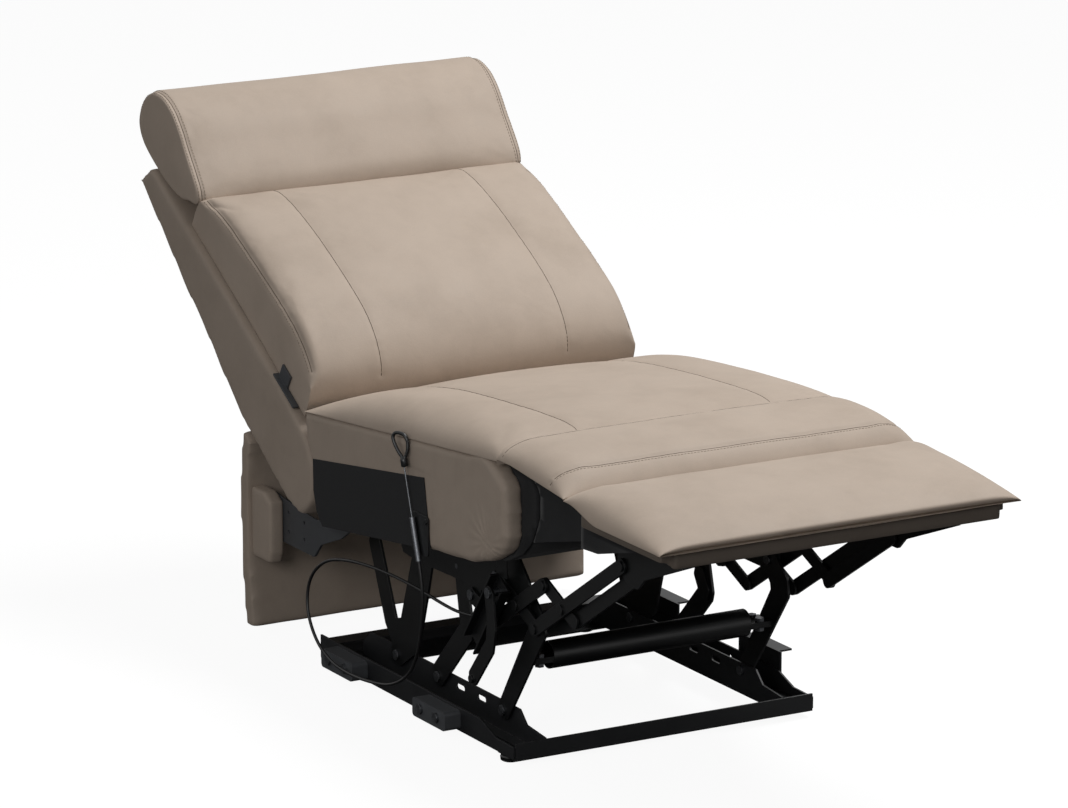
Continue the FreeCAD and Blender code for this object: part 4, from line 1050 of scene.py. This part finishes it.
def puckerFront(board):
    mesh = board.data
    centre = fromDrawing(*sideLook["foldSpot"])
    for vertex, normal in zip(mesh.vertices, normalsOf(mesh)):
        away = vertex.co - centre
        near = math.exp(-(away.y ** 2 + away.z ** 2) / sideLook["foldArea"])
        fold = math.sin(math.atan2(away.z, away.y) * sideLook["folds"] + 2 * noise.noise(vertex.co * 12))
        vertex.co += normal * sideLook["foldDeep"] * near * fold
    mesh.update()


pullRing()
floorGlides()
print("pull ring threaded, glides fitted")
seatCushion()
print("seat cushion sewn")
kneePad()
print("knee pad sewn")
footrestPad()
print("footrest pad sewn")
backCushion()
print("back cushion sewn")
headrestRoll()
print("headrest sewn")
paddedBoards()
print("boards covered")


# Dust cloth, a shallow bag from the seat's front to the footrest board, closed by thin flaps at the
# sides. Flaps are given in the side view, and by the places of their two faces across.
clothLook = {
    "cell": 0.012, "wave": 0.0022, "ripple": (4, 16, 22), "calm": 0.02, "side": 0.004, "flap": (271.0, 269.8),
    "underBoard": [(-250, 470), (-250, 388), (-300, 392), (-420, 424), (-420, 446), (-262, 446)],
    "besideRail": [(-10, 470), (-69, 475), (-104, 460), (-127, 445), (-132, 436), (-132, 406),
                   (-112, 365), (-83, 338), (-45, 320), (-10, 312)],
}


def addFlap(work, side, corners):
    outer, inner = ([work.verts.new(fromDrawing(side * x, y, z)) for y, z in corners]
                    for x in clothLook["flap"])
    work.faces.new(outer)
    work.faces.new(list(reversed(inner)))
    for number in range(len(outer)):
        after = (number + 1) % len(outer)
        work.faces.new((outer[number], inner[number], inner[after], outer[after]))


def dustCloth():
    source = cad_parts["dust_cloth"].data
    piece = newPiece("dustClothBag", [v.co.copy() for v in source.vertices],
                     [tuple(p.vertices) for p in source.polygons], finishes["black_cloth"])
    work = bmesh.new()
    work.from_mesh(piece.data)
    for side in (-1, 1):
        for corners in (clothLook["underBoard"], clothLook["besideRail"]):
            addFlap(work, side, corners)
    bmesh.ops.remove_doubles(work, verts=work.verts, dist=0.00002)
    low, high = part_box("dust_cloth")
    for axis in range(3):
        way = Vector((0, 0, 0))
        way[axis] = 1.0
        count = int((high[axis] - low[axis]) / clothLook["cell"])
        for number in range(1, count):
            spot = low.copy()
            spot[axis] += (high[axis] - low[axis]) * number / count
            bmesh.ops.bisect_plane(work, geom=work.verts[:] + work.edges[:] + work.faces[:], plane_co=spot,
                                   plane_no=way)
    calm = clothLook["calm"]
    across, along, upward = clothLook["ripple"]
    for vertex in work.verts:
        spot = vertex.co
        inset = min(spot.y - low.y, high.y - spot.y, calm) / calm
        ripple = Vector((spot.x * across, spot.y * along, spot.z * upward))
        wave = noise.noise(ripple) * clothLook["wave"]
        if abs(spot.x) > abs(high.x) - clothLook["side"]:
            spot.x -= math.copysign(1, spot.x) * abs(wave) * inset
        else:
            spot.z += wave * inset
    work.to_mesh(piece.data)
    work.free()
    shade(piece)
    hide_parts("dust_cloth")
    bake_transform(piece)


dustCloth()
print("dust cloth hung")


# Studio: an endless white floor that still takes soft shadows, a white world, two softboxes. Lamps
# are given by power, place, aim and size in metres.
studio = {
    "sky": 0.17, "glint": 0.7, "white": 1.0,
    "floorHalf": 40.0, "floorDrop": 0.0005, "floorWhite": 0.93, "floorTint": 0.14,
    "lamps": {"keySoftbox": (132.0, (1.6, -0.35, 3.9), (0, -0.05, 0.45), (2.1, 2.1)),
              "fillSoftbox": (40.0, (-3.6, -2.6, 2.0), (0, 0, 0.4), (2.0, 1.5))},
}


def paleFloor():
    half = studio["floorHalf"]
    corners = [(-half, -half, 0), (half, -half, 0), (half, half, 0), (-half, half, 0)]
    material = bpy.data.materials.new("paleStudioFloor")
    material.use_nodes = True
    tree = material.node_tree
    tree.nodes.clear()
    seen = addNode(tree, "ShaderNodeLightPath").outputs["Is Camera Ray"]
    matt = addNode(tree, "ShaderNodeBsdfDiffuse", {"Color": grey(studio["floorTint"])}).outputs[0]
    glow = addNode(tree, "ShaderNodeEmission", {"Color": grey(1.0), "Strength": studio["floorWhite"]})
    both = addNode(tree, "ShaderNodeAddShader", links={0: matt, 1: glow.outputs[0]})
    choose = addNode(tree, "ShaderNodeMixShader", links={0: seen, 1: matt, 2: both.outputs[0]})
    addNode(tree, "ShaderNodeOutputMaterial", links={"Surface": choose.outputs[0]})
    floor = newPiece("studioFloor", corners, [(0, 1, 2, 3)], material)
    floor.location.z = -studio["floorDrop"]


def whiteWorld():
    world = bpy.data.worlds.new("studioWorld")
    world.use_nodes = True
    scene.world = world
    tree = world.node_tree
    tree.nodes.clear()
    path = addNode(tree, "ShaderNodeLightPath")
    seen = addNode(tree, "ShaderNodeMath", {"operation": "MAXIMUM"},
                   {0: path.outputs["Is Camera Ray"], 1: path.outputs["Is Transmission Ray"]})
    strength = rangeOf(tree, path.outputs["Is Glossy Ray"], studio["sky"], studio["glint"])
    sky = addNode(tree, "ShaderNodeBackground", {"Color": grey(1.0)}, {"Strength": strength})
    white = addNode(tree, "ShaderNodeBackground", {"Color": grey(1.0), "Strength": studio["white"]})
    choose = addNode(tree, "ShaderNodeMixShader",
                     links={0: seen.outputs[0], 1: sky.outputs[0], 2: white.outputs[0]})
    addNode(tree, "ShaderNodeOutputWorld", links={"Surface": choose.outputs[0]})


def softLamp(name, power, place, target, size):
    lamp = bpy.data.lights.new(name, "AREA")
    lamp.shape = "RECTANGLE"
    lamp.size, lamp.size_y = size
    lamp.energy = power
    holder = bpy.data.objects.new(name, lamp)
    scene.collection.objects.link(holder)
    holder.location = place
    holder.rotation_euler = (Vector(target) - Vector(place)).to_track_quat("-Z", "Y").to_euler()


paleFloor()
whiteWorld()
for lampName, lampLook in studio["lamps"].items():
    softLamp(lampName, *lampLook)
print("studio lit")
